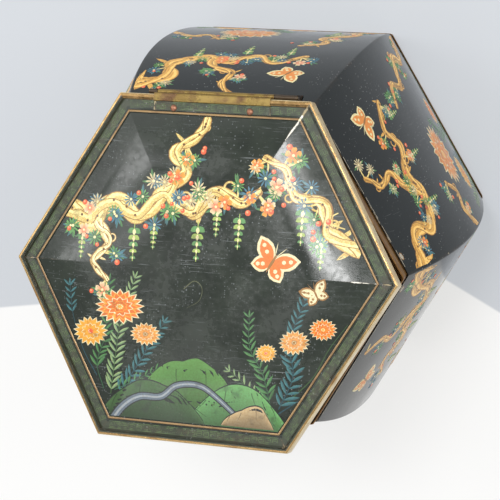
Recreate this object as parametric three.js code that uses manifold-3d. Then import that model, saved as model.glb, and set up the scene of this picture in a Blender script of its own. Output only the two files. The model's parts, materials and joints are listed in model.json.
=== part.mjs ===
// Hexagonal lacquered biscuit tin with bulging sides and a hinged, pressed lid.
// Millimetres, +Z up. The origin is the middle of the base, on the surface the tin stands on.
// The hinge is on the +Y side. A hexagon's size is given as its apothem, from axis to flat side.

import * as THREE from 'three';
import { mergeVertices } from 'three/addons/utils/BufferGeometryUtils.js';
import Module from 'manifold-3d';

const wasm = await Module();
wasm.setup();

// General
const SIDES = 6;
const GAP = 0.3;
const ARC_STEPS = 4;
const REACH = 200;
const OVERRUN = 1;
const WELD = 1e-4;

// Body walls
const WALL_T = 0.4;
const MOUTH_APOTHEM = 80;
const BELLY_APOTHEM = 94.4;
const BELLY_TO_MOUTH = 80;
const BELLY_TO_BASE = 62;
const WALL_STEPS = 20;

// Lap seams along the curved ridges between the walls
const LAP_WIDTH = 5;
const LAP_FOLD = 1.3;
const LAP_END_CLEARANCE = 2;
const LAP_JOIN = 0.05;

// Base
const BASE_T = 0.4;
const BASE_SEAM_HEIGHT = 3.4;
const BASE_RECESS = 2.6;

// Neck that the lid closes over
const NECK_T = 0.4;
const NECK_RISE = 6;
const NECK_DROP = 9;
const NECK_HEM = 4;

// Lid rim: a skirt with a flat hem turned in over the pressed panel
const LID_APOTHEM = 82.25;
const RIM_T = 0.4;
const SKIRT_HEIGHT = 7;
const SKIRT_TO_WALL = 1;
const HEM_WIDTH = 2.65;
const HEM_LIP = 0.9;
const HEM_RADIUS = 0.8;
const HEM_LIP_RADIUS = 0.3;
const SKIRT_CURL = 0.35;

// Lid panel: border band, bead and hipped dome
const PANEL_T = 0.4;
const BEAD_APOTHEM = 73.6;
const BEAD_WIDTH = 1.5;
const BEAD_HEIGHT = 0.6;
const DOME_RISE = 4.6;
const DOME_SLOPE_WIDTH = 27;
const DOME_CROWN = 1.6;
const DOME_ROUND_FROM = 62;
const POINTS_PER_SIDE = 4;
const SLOPE_RINGS = 8;
const CROWN_RINGS = 4;

// Hinge
const LEAF_T = 0.4;
const PIN_RADIUS = 0.5;
const PIN_PROUD = 0.4;
const AXIS_BELOW_LID_TOP = 5.5;
const LID_LEAF_LENGTH = 58;
const LID_LEAF_X = -1;
const LID_LEAF_END = 74.7;
const BODY_LEAF_LENGTH = 74;
const BODY_LEAF_X = 2.5;
const BODY_LEAF_DROP = 6.5;
const KNUCKLE_STEPS = 5;

// Rivets through the lid leaf
const RIVET_INSET = 10;
const RIVET_APOTHEM = 76;
const RIVET_SHANK_RADIUS = 0.6;
const RIVET_HEAD_RADIUS = 1.6;
const RIVET_HEAD_HEIGHT = 0.7;
const RIVET_TAIL_RADIUS = 1.2;
const RIVET_TAIL_HEIGHT = 0.5;
const ROUND_STEPS = 16;

// The lid as it stands: opened this far from closed
const LID_OPEN_DEG = 17;

// Places worked out from the sizes above
const COS30 = Math.cos(Math.PI / SIDES);
const SECTOR = (2 * Math.PI) / SIDES;
const SECTOR_DEG = 360 / SIDES;
const BELLY_RISE = BELLY_APOTHEM - MOUTH_APOTHEM;
const BELLY_RADIUS = (BELLY_TO_MOUTH ** 2 + BELLY_RISE ** 2) / (2 * BELLY_RISE);
const BELLY_CENTRE = BELLY_APOTHEM - BELLY_RADIUS;
const WALL_BOTTOM = BASE_T + GAP;
const BELLY_Z = WALL_BOTTOM + BELLY_TO_BASE;
const WALL_TOP = BELLY_Z + BELLY_TO_MOUTH;
const MOUTH_SLOPE = BELLY_TO_MOUTH / Math.sqrt(BELLY_RADIUS ** 2 - BELLY_TO_MOUTH ** 2);
const NECK_APOTHEM = wallApothem(WALL_TOP, WALL_T) - GAP;
const NECK_BOTTOM = WALL_TOP - NECK_DROP;
const NECK_TOP = WALL_TOP + NECK_RISE;
const LID_TOP = WALL_TOP + SKIRT_TO_WALL + SKIRT_HEIGHT;
const BAND_TOP = LID_TOP - HEM_LIP - GAP;
const HEM_INNER = LID_APOTHEM - HEM_WIDTH;
const BORE_RADIUS = PIN_RADIUS + GAP;
const KNUCKLE_RADIUS = BORE_RADIUS + LEAF_T;
const AXIS_Y = LID_APOTHEM + GAP + KNUCKLE_RADIUS;
const AXIS_Z = LID_TOP - AXIS_BELOW_LID_TOP;
const LEAF_LINE_Y = AXIS_Y - KNUCKLE_RADIUS + LEAF_T / 2;

const PAINT = { roughness: 0.35, metalness: 0.1 };
const LOOKS = {
  lacquer: { color: 0x14181a, ...PAINT },
  lidLacquer: { color: 0x101519, ...PAINT },
  goldPaint: { color: 0xa98a4e, roughness: 0.4, metalness: 0.6 },
  border: { color: 0x2f4a2c, roughness: 0.45, metalness: 0.1 },
  amberLacquer: { color: 0x6b4a30, roughness: 0.4, metalness: 0.4 },
  leaf: { color: 0x4a3a2a, roughness: 0.5, metalness: 0.4 },
  steel: { color: 0x8a8478, roughness: 0.4, metalness: 0.9 },
  rivet: { color: 0xc08a78, roughness: 0.4, metalness: 0.5 },
};

// Horizontal distance from the axis to a wall at a height, some depth under its outer face.
function wallApothem(z, depth) {
  const radius = BELLY_RADIUS - depth;
  return BELLY_CENTRE + Math.sqrt(radius ** 2 - (z - BELLY_Z) ** 2);
}

// A closed mesh as a solid, turned the right way out.
function toSolid(geometry) {
  geometry.deleteAttribute('normal');
  geometry.deleteAttribute('uv');
  const merged = mergeVertices(geometry, WELD);
  const vertProperties = Float32Array.from(merged.attributes.position.array);
  const triVerts = Uint32Array.from(merged.index.array);
  if (signedVolume(vertProperties, triVerts) < 0) {
    for (let i = 0; i < triVerts.length; i += 3) {
      [triVerts[i], triVerts[i + 1]] = [triVerts[i + 1], triVerts[i]];
    }
  }
  return new wasm.Manifold(new wasm.Mesh({ numProp: 3, vertProperties, triVerts }));
}

function signedVolume(positions, triangles) {
  const corners = [new THREE.Vector3(), new THREE.Vector3(), new THREE.Vector3()];
  let total = 0;
  for (let i = 0; i < triangles.length; i += 3) {
    corners.forEach((corner, j) => corner.fromArray(positions, 3 * triangles[i + j]));
    total += corners[0].dot(corners[1].cross(corners[2])) / 6;
  }
  return total;
}

function toGeometry(solid) {
  const mesh = solid.getMesh();
  const geometry = new THREE.BufferGeometry();
  geometry.setAttribute('position', new THREE.BufferAttribute(mesh.vertProperties, 3));
  geometry.setIndex(new THREE.BufferAttribute(mesh.triVerts, 1));
  geometry.computeVertexNormals();
  return geometry;
}

// An outline drawn in the YZ plane, extruded along X.
function extrudeAlongX(shape, x0, x1, steps) {
  const options = { depth: x1 - x0, bevelEnabled: false, curveSegments: steps };
  const geometry = new THREE.ExtrudeGeometry(shape, options);
  const x = new THREE.Vector3(0, 1, 0);
  const y = new THREE.Vector3(0, 0, 1);
  const z = new THREE.Vector3(1, 0, 0);
  geometry.applyMatrix4(new THREE.Matrix4().makeBasis(x, y, z));
  geometry.translate(x0, 0, 0);
  return toSolid(geometry);
}

// An outline drawn in the XY plane, extruded upwards.
function extrudeUp(points, z0, z1) {
  const shape = new THREE.Shape(points.map(([x, y]) => new THREE.Vector2(x, y)));
  const geometry = new THREE.ExtrudeGeometry(shape, { depth: z1 - z0, bevelEnabled: false });
  geometry.translate(0, 0, z0);
  return toSolid(geometry);
}

// A hexagonal ring or plate whose cross-section is given as apothem and height.
function hexRevolve(path) {
  const profile = path.getPoints(ARC_STEPS).map((p) => new THREE.Vector2(p.x / COS30, p.y));
  if (profile[0].x > 0) profile.push(profile[0].clone());
  const geometry = new THREE.LatheGeometry(profile, SIDES, Math.PI / SIDES);
  geometry.rotateX(Math.PI / 2);
  return toSolid(geometry);
}

// A turned piece on the Z axis, given as radius and height.
function turned(path) {
  const geometry = new THREE.LatheGeometry(path.getPoints(ARC_STEPS), ROUND_STEPS);
  geometry.rotateX(Math.PI / 2);
  return toSolid(geometry);
}

// A bent sheet seen on its edge: a line of square or slanted bends given its thickness.
function sheetSection(line, thickness) {
  const points = line.map(([y, z]) => new THREE.Vector2(y, z));
  const normals = points.slice(1).map((p, i) => {
    const along = p.clone().sub(points[i]).normalize();
    return new THREE.Vector2(-along.y, along.x);
  });
  const side = (half) => points.map((p, i) => {
    const before = normals[Math.max(i - 1, 0)];
    const after = normals[Math.min(i, normals.length - 1)];
    const mitre = before.clone().add(after).normalize();
    return p.clone().addScaledVector(mitre, half / mitre.dot(before));
  });
  return new THREE.Shape([...side(thickness / 2), ...side(-thickness / 2).reverse()]);
}

// A wall's section between two depths under its outer face. Every depth is stepped at the
// same heights, so that sheets cut from it meet facet to facet.
function wallSection(depth0, depth1) {
  const heights = [];
  for (let i = 0; i <= WALL_STEPS; i += 1) {
    heights.push(THREE.MathUtils.lerp(WALL_BOTTOM, WALL_TOP, i / WALL_STEPS));
  }
  const side = (depth) => heights.map((z) => new THREE.Vector2(wallApothem(z, depth), z));
  return new THREE.Shape([...side(depth0), ...side(depth1).reverse()]);
}

// The space of the +Y wall, between the upright planes that hold its two ridges.
function sector(z0, z1) {
  const half = REACH * Math.tan(SECTOR / 2);
  return extrudeUp([[0, GAP], [half, GAP + REACH], [-half, GAP + REACH]], z0, z1);
}

// A slab along the ridge on the -X side of the +Y wall. Distances from the ridge plane are
// positive on the wall's own side.
function ridgeSlab(from, to, z0, z1) {
  const slab = extrudeUp([[0, -to], [REACH, -to], [REACH, -from], [0, -from]], z0, z1);
  return slab.rotate([0, 0, 2 * SECTOR_DEG]);
}

// One wall: a sheet bent on a single arc and mitred along two curved ridges. Along one ridge
// it is folded in and runs on behind the next wall as a lap.
function sideWall() {
  const lapDepth = WALL_T + GAP;
  const lapBack = lapDepth + WALL_T;
  const z0 = BASE_SEAM_HEIGHT + LAP_END_CLEARANCE;
  const z1 = NECK_BOTTOM - LAP_END_CLEARANCE;
  const sheet = (depth0, depth1) => (
    extrudeAlongX(wallSection(depth0, depth1), -REACH, REACH, 1)
  );
  const face = sheet(0, WALL_T).intersect(sector(0, LID_TOP));
  const fold = sheet(0, lapBack).intersect(ridgeSlab(GAP / 2, LAP_FOLD, z0, z1));
  const lapSheet = sheet(lapDepth, lapBack);
  const bend = lapSheet.intersect(ridgeSlab(0, LAP_FOLD, z0, z1));
  const lapSpace = ridgeSlab(-LAP_WIDTH, LAP_JOIN, z0, z1);
  const lap = lapSheet.rotate([0, 0, SECTOR_DEG]).intersect(lapSpace);
  return toGeometry(face.add(fold).add(bend).add(lap));
}

// The neck: a hexagonal collar inside the mouth, its top edge folded in.
function neckCollar() {
  const outer = NECK_APOTHEM;
  const path = new THREE.Path();
  path.moveTo(outer, NECK_BOTTOM);
  path.lineTo(outer, NECK_TOP - NECK_T);
  path.absarc(outer - NECK_T, NECK_TOP - NECK_T, NECK_T, 0, Math.PI, false);
  path.lineTo(outer - 2 * NECK_T, NECK_TOP - NECK_HEM);
  path.lineTo(outer - NECK_T, NECK_TOP - NECK_HEM);
  path.lineTo(outer - NECK_T, NECK_BOTTOM);
  return toGeometry(hexRevolve(path));
}

// The base: a recessed plate whose edge is a channel folded round the foot of the walls.
function basePlate() {
  const lean = wallApothem(BASE_SEAM_HEIGHT, 0) - wallApothem(WALL_BOTTOM, 0);
  const outerFoot = wallApothem(WALL_BOTTOM, 0) + GAP + BASE_T;
  const innerFoot = wallApothem(WALL_BOTTOM, WALL_T) - GAP - BASE_T;
  const path = new THREE.Path();
  path.moveTo(0, BASE_RECESS);
  path.lineTo(innerFoot, BASE_RECESS);
  path.lineTo(innerFoot, 0);
  path.lineTo(outerFoot - BASE_T, 0);
  path.absarc(outerFoot - BASE_T, BASE_T, BASE_T, -Math.PI / 2, 0, false);
  path.lineTo(outerFoot + lean, BASE_SEAM_HEIGHT);
  path.lineTo(outerFoot + lean - BASE_T, BASE_SEAM_HEIGHT);
  path.lineTo(outerFoot - BASE_T, BASE_T);
  path.lineTo(innerFoot + BASE_T, BASE_T);
  path.lineTo(innerFoot + BASE_T, BASE_RECESS + BASE_T);
  path.lineTo(0, BASE_RECESS + BASE_T);
  return toGeometry(hexRevolve(path));
}

// The lid's rim: an upright skirt with its foot curled, and a flat hem with a short lip.
function lidRim() {
  const hemArc = LID_APOTHEM - HEM_RADIUS;
  const lipArc = HEM_INNER + HEM_LIP_RADIUS;
  const inner = LID_APOTHEM - RIM_T;
  const innerRadius = HEM_RADIUS - RIM_T;
  const foot = LID_TOP - SKIRT_HEIGHT;
  const path = new THREE.Path();
  path.moveTo(inner - SKIRT_CURL, foot);
  path.lineTo(LID_APOTHEM, foot);
  path.lineTo(LID_APOTHEM, LID_TOP - HEM_RADIUS);
  path.absarc(hemArc, LID_TOP - HEM_RADIUS, HEM_RADIUS, 0, Math.PI / 2, false);
  path.lineTo(lipArc, LID_TOP);
  path.absarc(lipArc, LID_TOP - HEM_LIP_RADIUS, HEM_LIP_RADIUS, Math.PI / 2, Math.PI, false);
  path.lineTo(HEM_INNER, LID_TOP - HEM_LIP);
  path.lineTo(HEM_INNER + RIM_T, LID_TOP - HEM_LIP);
  path.lineTo(HEM_INNER + RIM_T, LID_TOP - RIM_T);
  path.lineTo(hemArc, LID_TOP - RIM_T);
  path.absarc(hemArc, LID_TOP - HEM_RADIUS, innerRadius, Math.PI / 2, 0, true);
  path.lineTo(inner, foot + 2 * RIM_T);
  path.lineTo(inner - SKIRT_CURL, foot + 2 * RIM_T);
  return toGeometry(hexRevolve(path));
}

// Rings of the lid panel from its edge to its middle: apothem, height and how far the
// hexagon is drawn towards a circle.
function panelRings() {
  const rings = [[LID_APOTHEM - RIM_T - GAP, BAND_TOP]];
  const half = BEAD_WIDTH / 2;
  for (let i = 0; i <= ARC_STEPS; i += 1) {
    const turn = (Math.PI * i) / ARC_STEPS;
    const apothem = BEAD_APOTHEM + half * Math.cos(turn);
    rings.push([apothem, BAND_TOP + BEAD_HEIGHT * Math.sin(turn)]);
  }
  const slopeFoot = BEAD_APOTHEM - half;
  for (let i = 1; i <= SLOPE_RINGS; i += 1) {
    const t = i / SLOPE_RINGS;
    rings.push([slopeFoot - DOME_SLOPE_WIDTH * t, BAND_TOP + DOME_RISE * Math.sin((Math.PI / 2) * t)]);
  }
  const crownFoot = slopeFoot - DOME_SLOPE_WIDTH;
  for (let i = 1; i < CROWN_RINGS; i += 1) {
    const t = i / CROWN_RINGS;
    rings.push([crownFoot * (1 - t), BAND_TOP + DOME_RISE + DOME_CROWN * (1 - (1 - t) ** 2)]);
  }
  return rings.map(([apothem, z]) => {
    const inside = Math.max(0, DOME_ROUND_FROM - apothem) / DOME_ROUND_FROM;
    return { apothem, z, roundness: Math.sqrt(inside) };
  });
}

function ringPoints({ apothem, z, roundness }) {
  const points = [];
  for (let i = 0; i < SIDES * POINTS_PER_SIDE; i += 1) {
    const angle = (i / POINTS_PER_SIDE) * SECTOR;
    const fromMiddle = (angle % SECTOR) - SECTOR / 2;
    const straight = apothem / Math.cos(fromMiddle);
    const round = apothem * (1 + 1 / COS30) / 2;
    const radius = THREE.MathUtils.lerp(straight, round, roundness);
    points.push(new THREE.Vector3(radius * Math.cos(angle), radius * Math.sin(angle), z));
  }
  return points;
}

// The lid's pressed panel: a flat band, a raised bead and a dome whose hips fade inwards.
function lidPanel() {
  const rings = panelRings();
  const count = SIDES * POINTS_PER_SIDE;
  const top = rings.map(ringPoints);
  const under = top.map((ring) => ring.map((p) => new THREE.Vector3(p.x, p.y, p.z - PANEL_T)));
  const crown = BAND_TOP + DOME_RISE + DOME_CROWN;
  const loops = [...under.reverse(), ...top];
  const middles = [crown - PANEL_T, crown].map((z) => new THREE.Vector3(0, 0, z));
  const vertices = [...loops.flat(), ...middles];
  const underMiddle = vertices.length - 2;
  const topMiddle = vertices.length - 1;
  const lastLoop = (loops.length - 1) * count;
  const index = [];
  for (let i = 0; i < count; i += 1) {
    const j = (i + 1) % count;
    index.push(underMiddle, j, i);
    index.push(topMiddle, lastLoop + i, lastLoop + j);
    for (let k = 0; k < loops.length - 1; k += 1) {
      const a = k * count;
      const b = a + count;
      index.push(a + i, a + j, b + j, a + i, b + j, b + i);
    }
  }
  const geometry = new THREE.BufferGeometry().setFromPoints(vertices);
  geometry.setIndex(index);
  const holes = rivetPlaces().map(([x, y]) => rivetHole().translate([x, y, 0]));
  return toGeometry(holes.reduce((panel, hole) => panel.subtract(hole), toSolid(geometry)));
}

function rivetPlaces() {
  const half = LID_LEAF_LENGTH / 2 - RIVET_INSET;
  return [-half, half].map((x) => [LID_LEAF_X + x, RIVET_APOTHEM]);
}

function rivetHole() {
  const path = new THREE.Path();
  path.moveTo(0, BAND_TOP - REACH / 2);
  path.lineTo(RIVET_SHANK_RADIUS + GAP, BAND_TOP - REACH / 2);
  path.lineTo(RIVET_SHANK_RADIUS + GAP, LID_TOP + REACH / 2);
  path.lineTo(0, LID_TOP + REACH / 2);
  return turned(path);
}

// A rivet: a low domed head on the leaf, a shank and a flattened tail under the panel.
function lidRivet() {
  const tailTop = BAND_TOP - PANEL_T - GAP;
  const headFoot = BAND_TOP + GAP + LEAF_T + GAP;
  const path = new THREE.Path();
  path.moveTo(0, tailTop - RIVET_TAIL_HEIGHT);
  path.lineTo(RIVET_TAIL_RADIUS, tailTop - RIVET_TAIL_HEIGHT);
  path.lineTo(RIVET_TAIL_RADIUS, tailTop);
  path.lineTo(RIVET_SHANK_RADIUS, tailTop);
  path.lineTo(RIVET_SHANK_RADIUS, headFoot);
  path.lineTo(RIVET_HEAD_RADIUS, headFoot);
  path.absellipse(0, headFoot, RIVET_HEAD_RADIUS, RIVET_HEAD_HEIGHT, 0, Math.PI / 2, false, 0);
  path.lineTo(0, headFoot + RIVET_HEAD_HEIGHT);
  return toGeometry(turned(path));
}

// A knuckle: a short tube on the hinge axis.
function knuckle(x0, x1) {
  const shape = new THREE.Shape();
  shape.absarc(AXIS_Y, AXIS_Z, KNUCKLE_RADIUS, 0, 2 * Math.PI, false);
  const bore = new THREE.Path();
  bore.absarc(AXIS_Y, AXIS_Z, BORE_RADIUS, 0, 2 * Math.PI, true);
  shape.holes.push(bore);
  return extrudeAlongX(shape, x0, x1, KNUCKLE_STEPS * ARC_STEPS);
}

// The pin's bore kept open through a leaf that meets the knuckles.
function boreCore(x0, x1) {
  const shape = new THREE.Shape();
  shape.absarc(AXIS_Y, AXIS_Z, BORE_RADIUS, 0, 2 * Math.PI, false);
  return extrudeAlongX(shape, x0, x1, KNUCKLE_STEPS * ARC_STEPS);
}

// The lid's leaf: from its knuckle up the skirt, over the hem and down onto the border band.
function lidLeaf() {
  const x0 = LID_LEAF_X - LID_LEAF_LENGTH / 2;
  const x1 = LID_LEAF_X + LID_LEAF_LENGTH / 2;
  const overHem = LID_TOP + GAP + LEAF_T / 2;
  const onBand = BAND_TOP + GAP + LEAF_T / 2;
  const stepY = HEM_INNER - GAP - LEAF_T / 2;
  const line = [
    [LEAF_LINE_Y, AXIS_Z],
    [LEAF_LINE_Y, overHem],
    [stepY, overHem],
    [stepY, onBand],
    [LID_LEAF_END, onBand],
  ];
  const plate = extrudeAlongX(sheetSection(line, LEAF_T), x0, x1, 1);
  const solid = plate.subtract(boreCore(x0 - OVERRUN, x1 + OVERRUN)).add(knuckle(x0, x1));
  const holes = rivetPlaces().map(([x, y]) => rivetHole().translate([x, y, 0]));
  return toGeometry(holes.reduce((leaf, hole) => leaf.subtract(hole), solid));
}

// The body's leaf: a plate lying on the wall, bent out to a knuckle at each end.
function bodyLeaf() {
  const x0 = BODY_LEAF_X - BODY_LEAF_LENGTH / 2;
  const x1 = BODY_LEAF_X + BODY_LEAF_LENGTH / 2;
  const gap0 = LID_LEAF_X - LID_LEAF_LENGTH / 2 - GAP;
  const gap1 = LID_LEAF_X + LID_LEAF_LENGTH / 2 + GAP;
  const offWall = GAP + LEAF_T / 2;
  const bendZ = LID_TOP - SKIRT_HEIGHT - GAP - LEAF_T / 2;
  const wallZ = WALL_TOP - GAP;
  const wallY = wallApothem(wallZ, 0) + offWall * Math.hypot(1, MOUTH_SLOPE);
  const shoulderZ = wallZ + (LEAF_LINE_Y - wallY) / 2;
  const footZ = wallZ - BODY_LEAF_DROP;
  const footY = wallApothem(footZ, 0) + offWall * Math.hypot(1, MOUTH_SLOPE);
  const onWall = [[LEAF_LINE_Y, Math.min(shoulderZ, bendZ)], [wallY, wallZ], [footY, footZ]];
  const plate = extrudeAlongX(sheetSection(onWall, LEAF_T), x0, x1, 1);
  const neck = [[LEAF_LINE_Y, AXIS_Z], ...onWall];
  const ends = [[x0, gap0], [gap1, x1]].map(([a, b]) => (
    extrudeAlongX(sheetSection(neck, LEAF_T), a, b, 1)
      .subtract(boreCore(a - OVERRUN, b + OVERRUN))
      .add(knuckle(a, b))
  ));
  return toGeometry(plate.add(ends[0]).add(ends[1]));
}

// The pin: a wire through all the knuckles, a little proud at both ends.
function hingePin() {
  const x0 = BODY_LEAF_X - BODY_LEAF_LENGTH / 2 - PIN_PROUD;
  const x1 = BODY_LEAF_X + BODY_LEAF_LENGTH / 2 + PIN_PROUD;
  const geometry = new THREE.CylinderGeometry(PIN_RADIUS, PIN_RADIUS, x1 - x0, ROUND_STEPS);
  geometry.rotateZ(Math.PI / 2);
  geometry.translate((x0 + x1) / 2, AXIS_Y, AXIS_Z);
  return toGeometry(toSolid(geometry));
}

function piece(name, geometry, look) {
  const mesh = new THREE.Mesh(geometry, new THREE.MeshStandardMaterial(look));
  mesh.name = name;
  return mesh;
}

// The walls in turn round the axis, from the one that carries the hinge.
const WALL_NAMES = [
  'wall_back',
  'wall_back_left',
  'wall_front_left',
  'wall_front',
  'wall_front_right',
  'wall_back_right',
];

function boxGroup() {
  const group = new THREE.Group();
  const wall = sideWall();
  WALL_NAMES.forEach((name, i) => {
    const mesh = piece(name, wall, LOOKS.lacquer);
    mesh.rotation.z = i * SECTOR;
    group.add(mesh);
  });
  group.add(piece('neck_collar', neckCollar(), LOOKS.amberLacquer));
  group.add(piece('base_plate', basePlate(), LOOKS.amberLacquer));
  group.add(piece('body_hinge_leaf', bodyLeaf(), LOOKS.leaf));
  group.add(piece('hinge_pin', hingePin(), LOOKS.steel));
  return group;
}

// The lid turns about the hinge axis, so its group sits on that axis.
function lidGroup() {
  const closed = new THREE.Group();
  closed.position.set(0, -AXIS_Y, -AXIS_Z);
  closed.add(piece('lid_panel', lidPanel(), LOOKS.lidLacquer));
  closed.add(piece('lid_rim', lidRim(), LOOKS.goldPaint));
  closed.add(piece('lid_hinge_leaf', lidLeaf(), LOOKS.border));
  const names = ['lid_rivet_left', 'lid_rivet_right'];
  rivetPlaces().forEach(([x, y], i) => {
    const rivet = piece(names[i], lidRivet(), LOOKS.rivet);
    rivet.position.set(x, y, 0);
    closed.add(rivet);
  });
  const hinged = new THREE.Group();
  hinged.position.set(0, AXIS_Y, AXIS_Z);
  hinged.rotation.x = -THREE.MathUtils.degToRad(LID_OPEN_DEG);
  hinged.add(closed);
  return hinged;
}

const tin = new THREE.Group();
tin.add(boxGroup(), lidGroup());

export default tin;
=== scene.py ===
"""Looks of a hexagonal printed tin box with bulging walls and a hinged, pressed lid.

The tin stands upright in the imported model's frame, its lid ajar. Sizes are in millimetres in
the classes and turned to metres where a mesh is made.
"""

import json
import logging
import math
from collections.abc import Callable, Iterable, Sequence
from dataclasses import dataclass, field
from enum import Enum

import bmesh
import bpy
import numpy as np
from mathutils import Matrix, Vector

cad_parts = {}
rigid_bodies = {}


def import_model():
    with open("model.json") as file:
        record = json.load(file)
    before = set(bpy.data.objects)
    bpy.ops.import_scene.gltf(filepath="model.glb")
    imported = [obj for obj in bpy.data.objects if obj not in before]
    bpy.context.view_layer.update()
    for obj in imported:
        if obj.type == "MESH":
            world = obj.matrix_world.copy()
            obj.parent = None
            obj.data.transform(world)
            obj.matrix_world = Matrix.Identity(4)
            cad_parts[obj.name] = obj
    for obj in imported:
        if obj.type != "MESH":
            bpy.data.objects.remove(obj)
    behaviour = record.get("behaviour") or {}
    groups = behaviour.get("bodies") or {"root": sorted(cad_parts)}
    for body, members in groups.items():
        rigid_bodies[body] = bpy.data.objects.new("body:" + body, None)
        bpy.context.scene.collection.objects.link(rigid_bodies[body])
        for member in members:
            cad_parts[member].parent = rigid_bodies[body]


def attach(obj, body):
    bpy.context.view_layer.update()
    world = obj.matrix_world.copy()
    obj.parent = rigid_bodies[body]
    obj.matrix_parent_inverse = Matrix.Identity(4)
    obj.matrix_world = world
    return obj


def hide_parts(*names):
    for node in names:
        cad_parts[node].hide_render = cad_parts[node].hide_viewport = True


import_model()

log = logging.getLogger("tin")

MM = 0.001
SIDES = 6
SECTOR = 2 * math.pi / SIDES
TAN30 = math.tan(SECTOR / 2)
COS30 = math.cos(SECTOR / 2)
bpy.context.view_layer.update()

WHITE = (1.0, 1.0, 1.0)
LOW = -0.03
STEP = 0.02
RIMS = ((slice(None), 0), (slice(None), -1), (0, slice(None)), (-1, slice(None)))

Colour = tuple[float, float, float]
Line = Sequence[tuple[float, float]]
Piece = bpy.types.Object
Socket = bpy.types.NodeSocket


class Body(Enum):
    """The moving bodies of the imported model."""

    BOX = "box"
    LID = "lid"


class Slot(Enum):
    """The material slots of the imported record."""

    BLACK_PRINT = "black_print"
    LID_PRINT = "lid_print"
    GOLD_RIM = "gold_rim"
    BORDER_LEAF = "border_leaf"
    AMBER = "amber_lacquer"
    BLACK_LEAF = "black_leaf"
    PIN_WIRE = "pin_wire"
    RIVET = "rivet"


def srgb(red: float, green: float, blue: float) -> Colour:
    """Turns a colour as seen on screen into linear values.

    Args:
        red: Red, like the others from 0 to 255.
        green: Green.
        blue: Blue.

    Returns:
        The same colour in linear light, each value from 0 to 1.
    """
    shares = (value / 255 for value in (red, green, blue))
    return tuple(s / 12.92 if s <= 0.04045 else ((s + 0.055) / 1.055) ** 2.4 for s in shares)


@dataclass(frozen=True)
class TinShape:
    """The sizes that the sub-assemblies share. A hexagon is given by its apothem."""

    mouth: float = 80.0
    belly: float = 94.4
    belly_to_mouth: float = 80.0
    belly_to_base: float = 62.0
    wall_bottom: float = 0.7
    sheet: float = 0.4
    gap: float = 0.3
    lid: float = 82.25
    skirt: float = 7.0
    skirt_to_wall: float = 1.0
    hem: float = 2.65
    axis_below_top: float = 5.5
    pin_radius: float = 0.5
    open_deg: float = 17.0

    @property
    def bulge_radius(self) -> float:
        """Radius of the arc on which each wall is bent."""
        rise = self.belly - self.mouth
        return (self.belly_to_mouth**2 + rise**2) / (2 * rise)

    @property
    def bulge_centre(self) -> float:
        """Apothem of that arc's centre."""
        return self.belly - self.bulge_radius

    @property
    def belly_z(self) -> float:
        """Height of the widest line."""
        return self.wall_bottom + self.belly_to_base

    @property
    def wall_top(self) -> float:
        """Height of the walls' upper edge."""
        return self.belly_z + self.belly_to_mouth

    @property
    def lid_top(self) -> float:
        """Height of the lid's hem when the lid is closed."""
        return self.wall_top + self.skirt_to_wall + self.skirt

    @property
    def hinge(self) -> Vector:
        """The middle of the hinge's axis."""
        y = self.lid + 2 * self.gap + self.pin_radius + self.sheet
        return Vector((0.0, y, self.lid_top - self.axis_below_top))

    def wall_apothem(self, z: float, depth: float = 0.0) -> float:
        """Apothem of a wall at a height, some depth under its outer face."""
        radius = self.bulge_radius - depth
        return self.bulge_centre + math.sqrt(radius**2 - (z - self.belly_z) ** 2)

    def lid_turn(self) -> Matrix:
        """The move that takes the closed lid to where it stands."""
        there = Matrix.Translation(self.hinge * MM)
        turn = Matrix.Rotation(-math.radians(self.open_deg), 4, "X")
        return there @ turn @ there.inverted()


TIN = TinShape()


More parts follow.
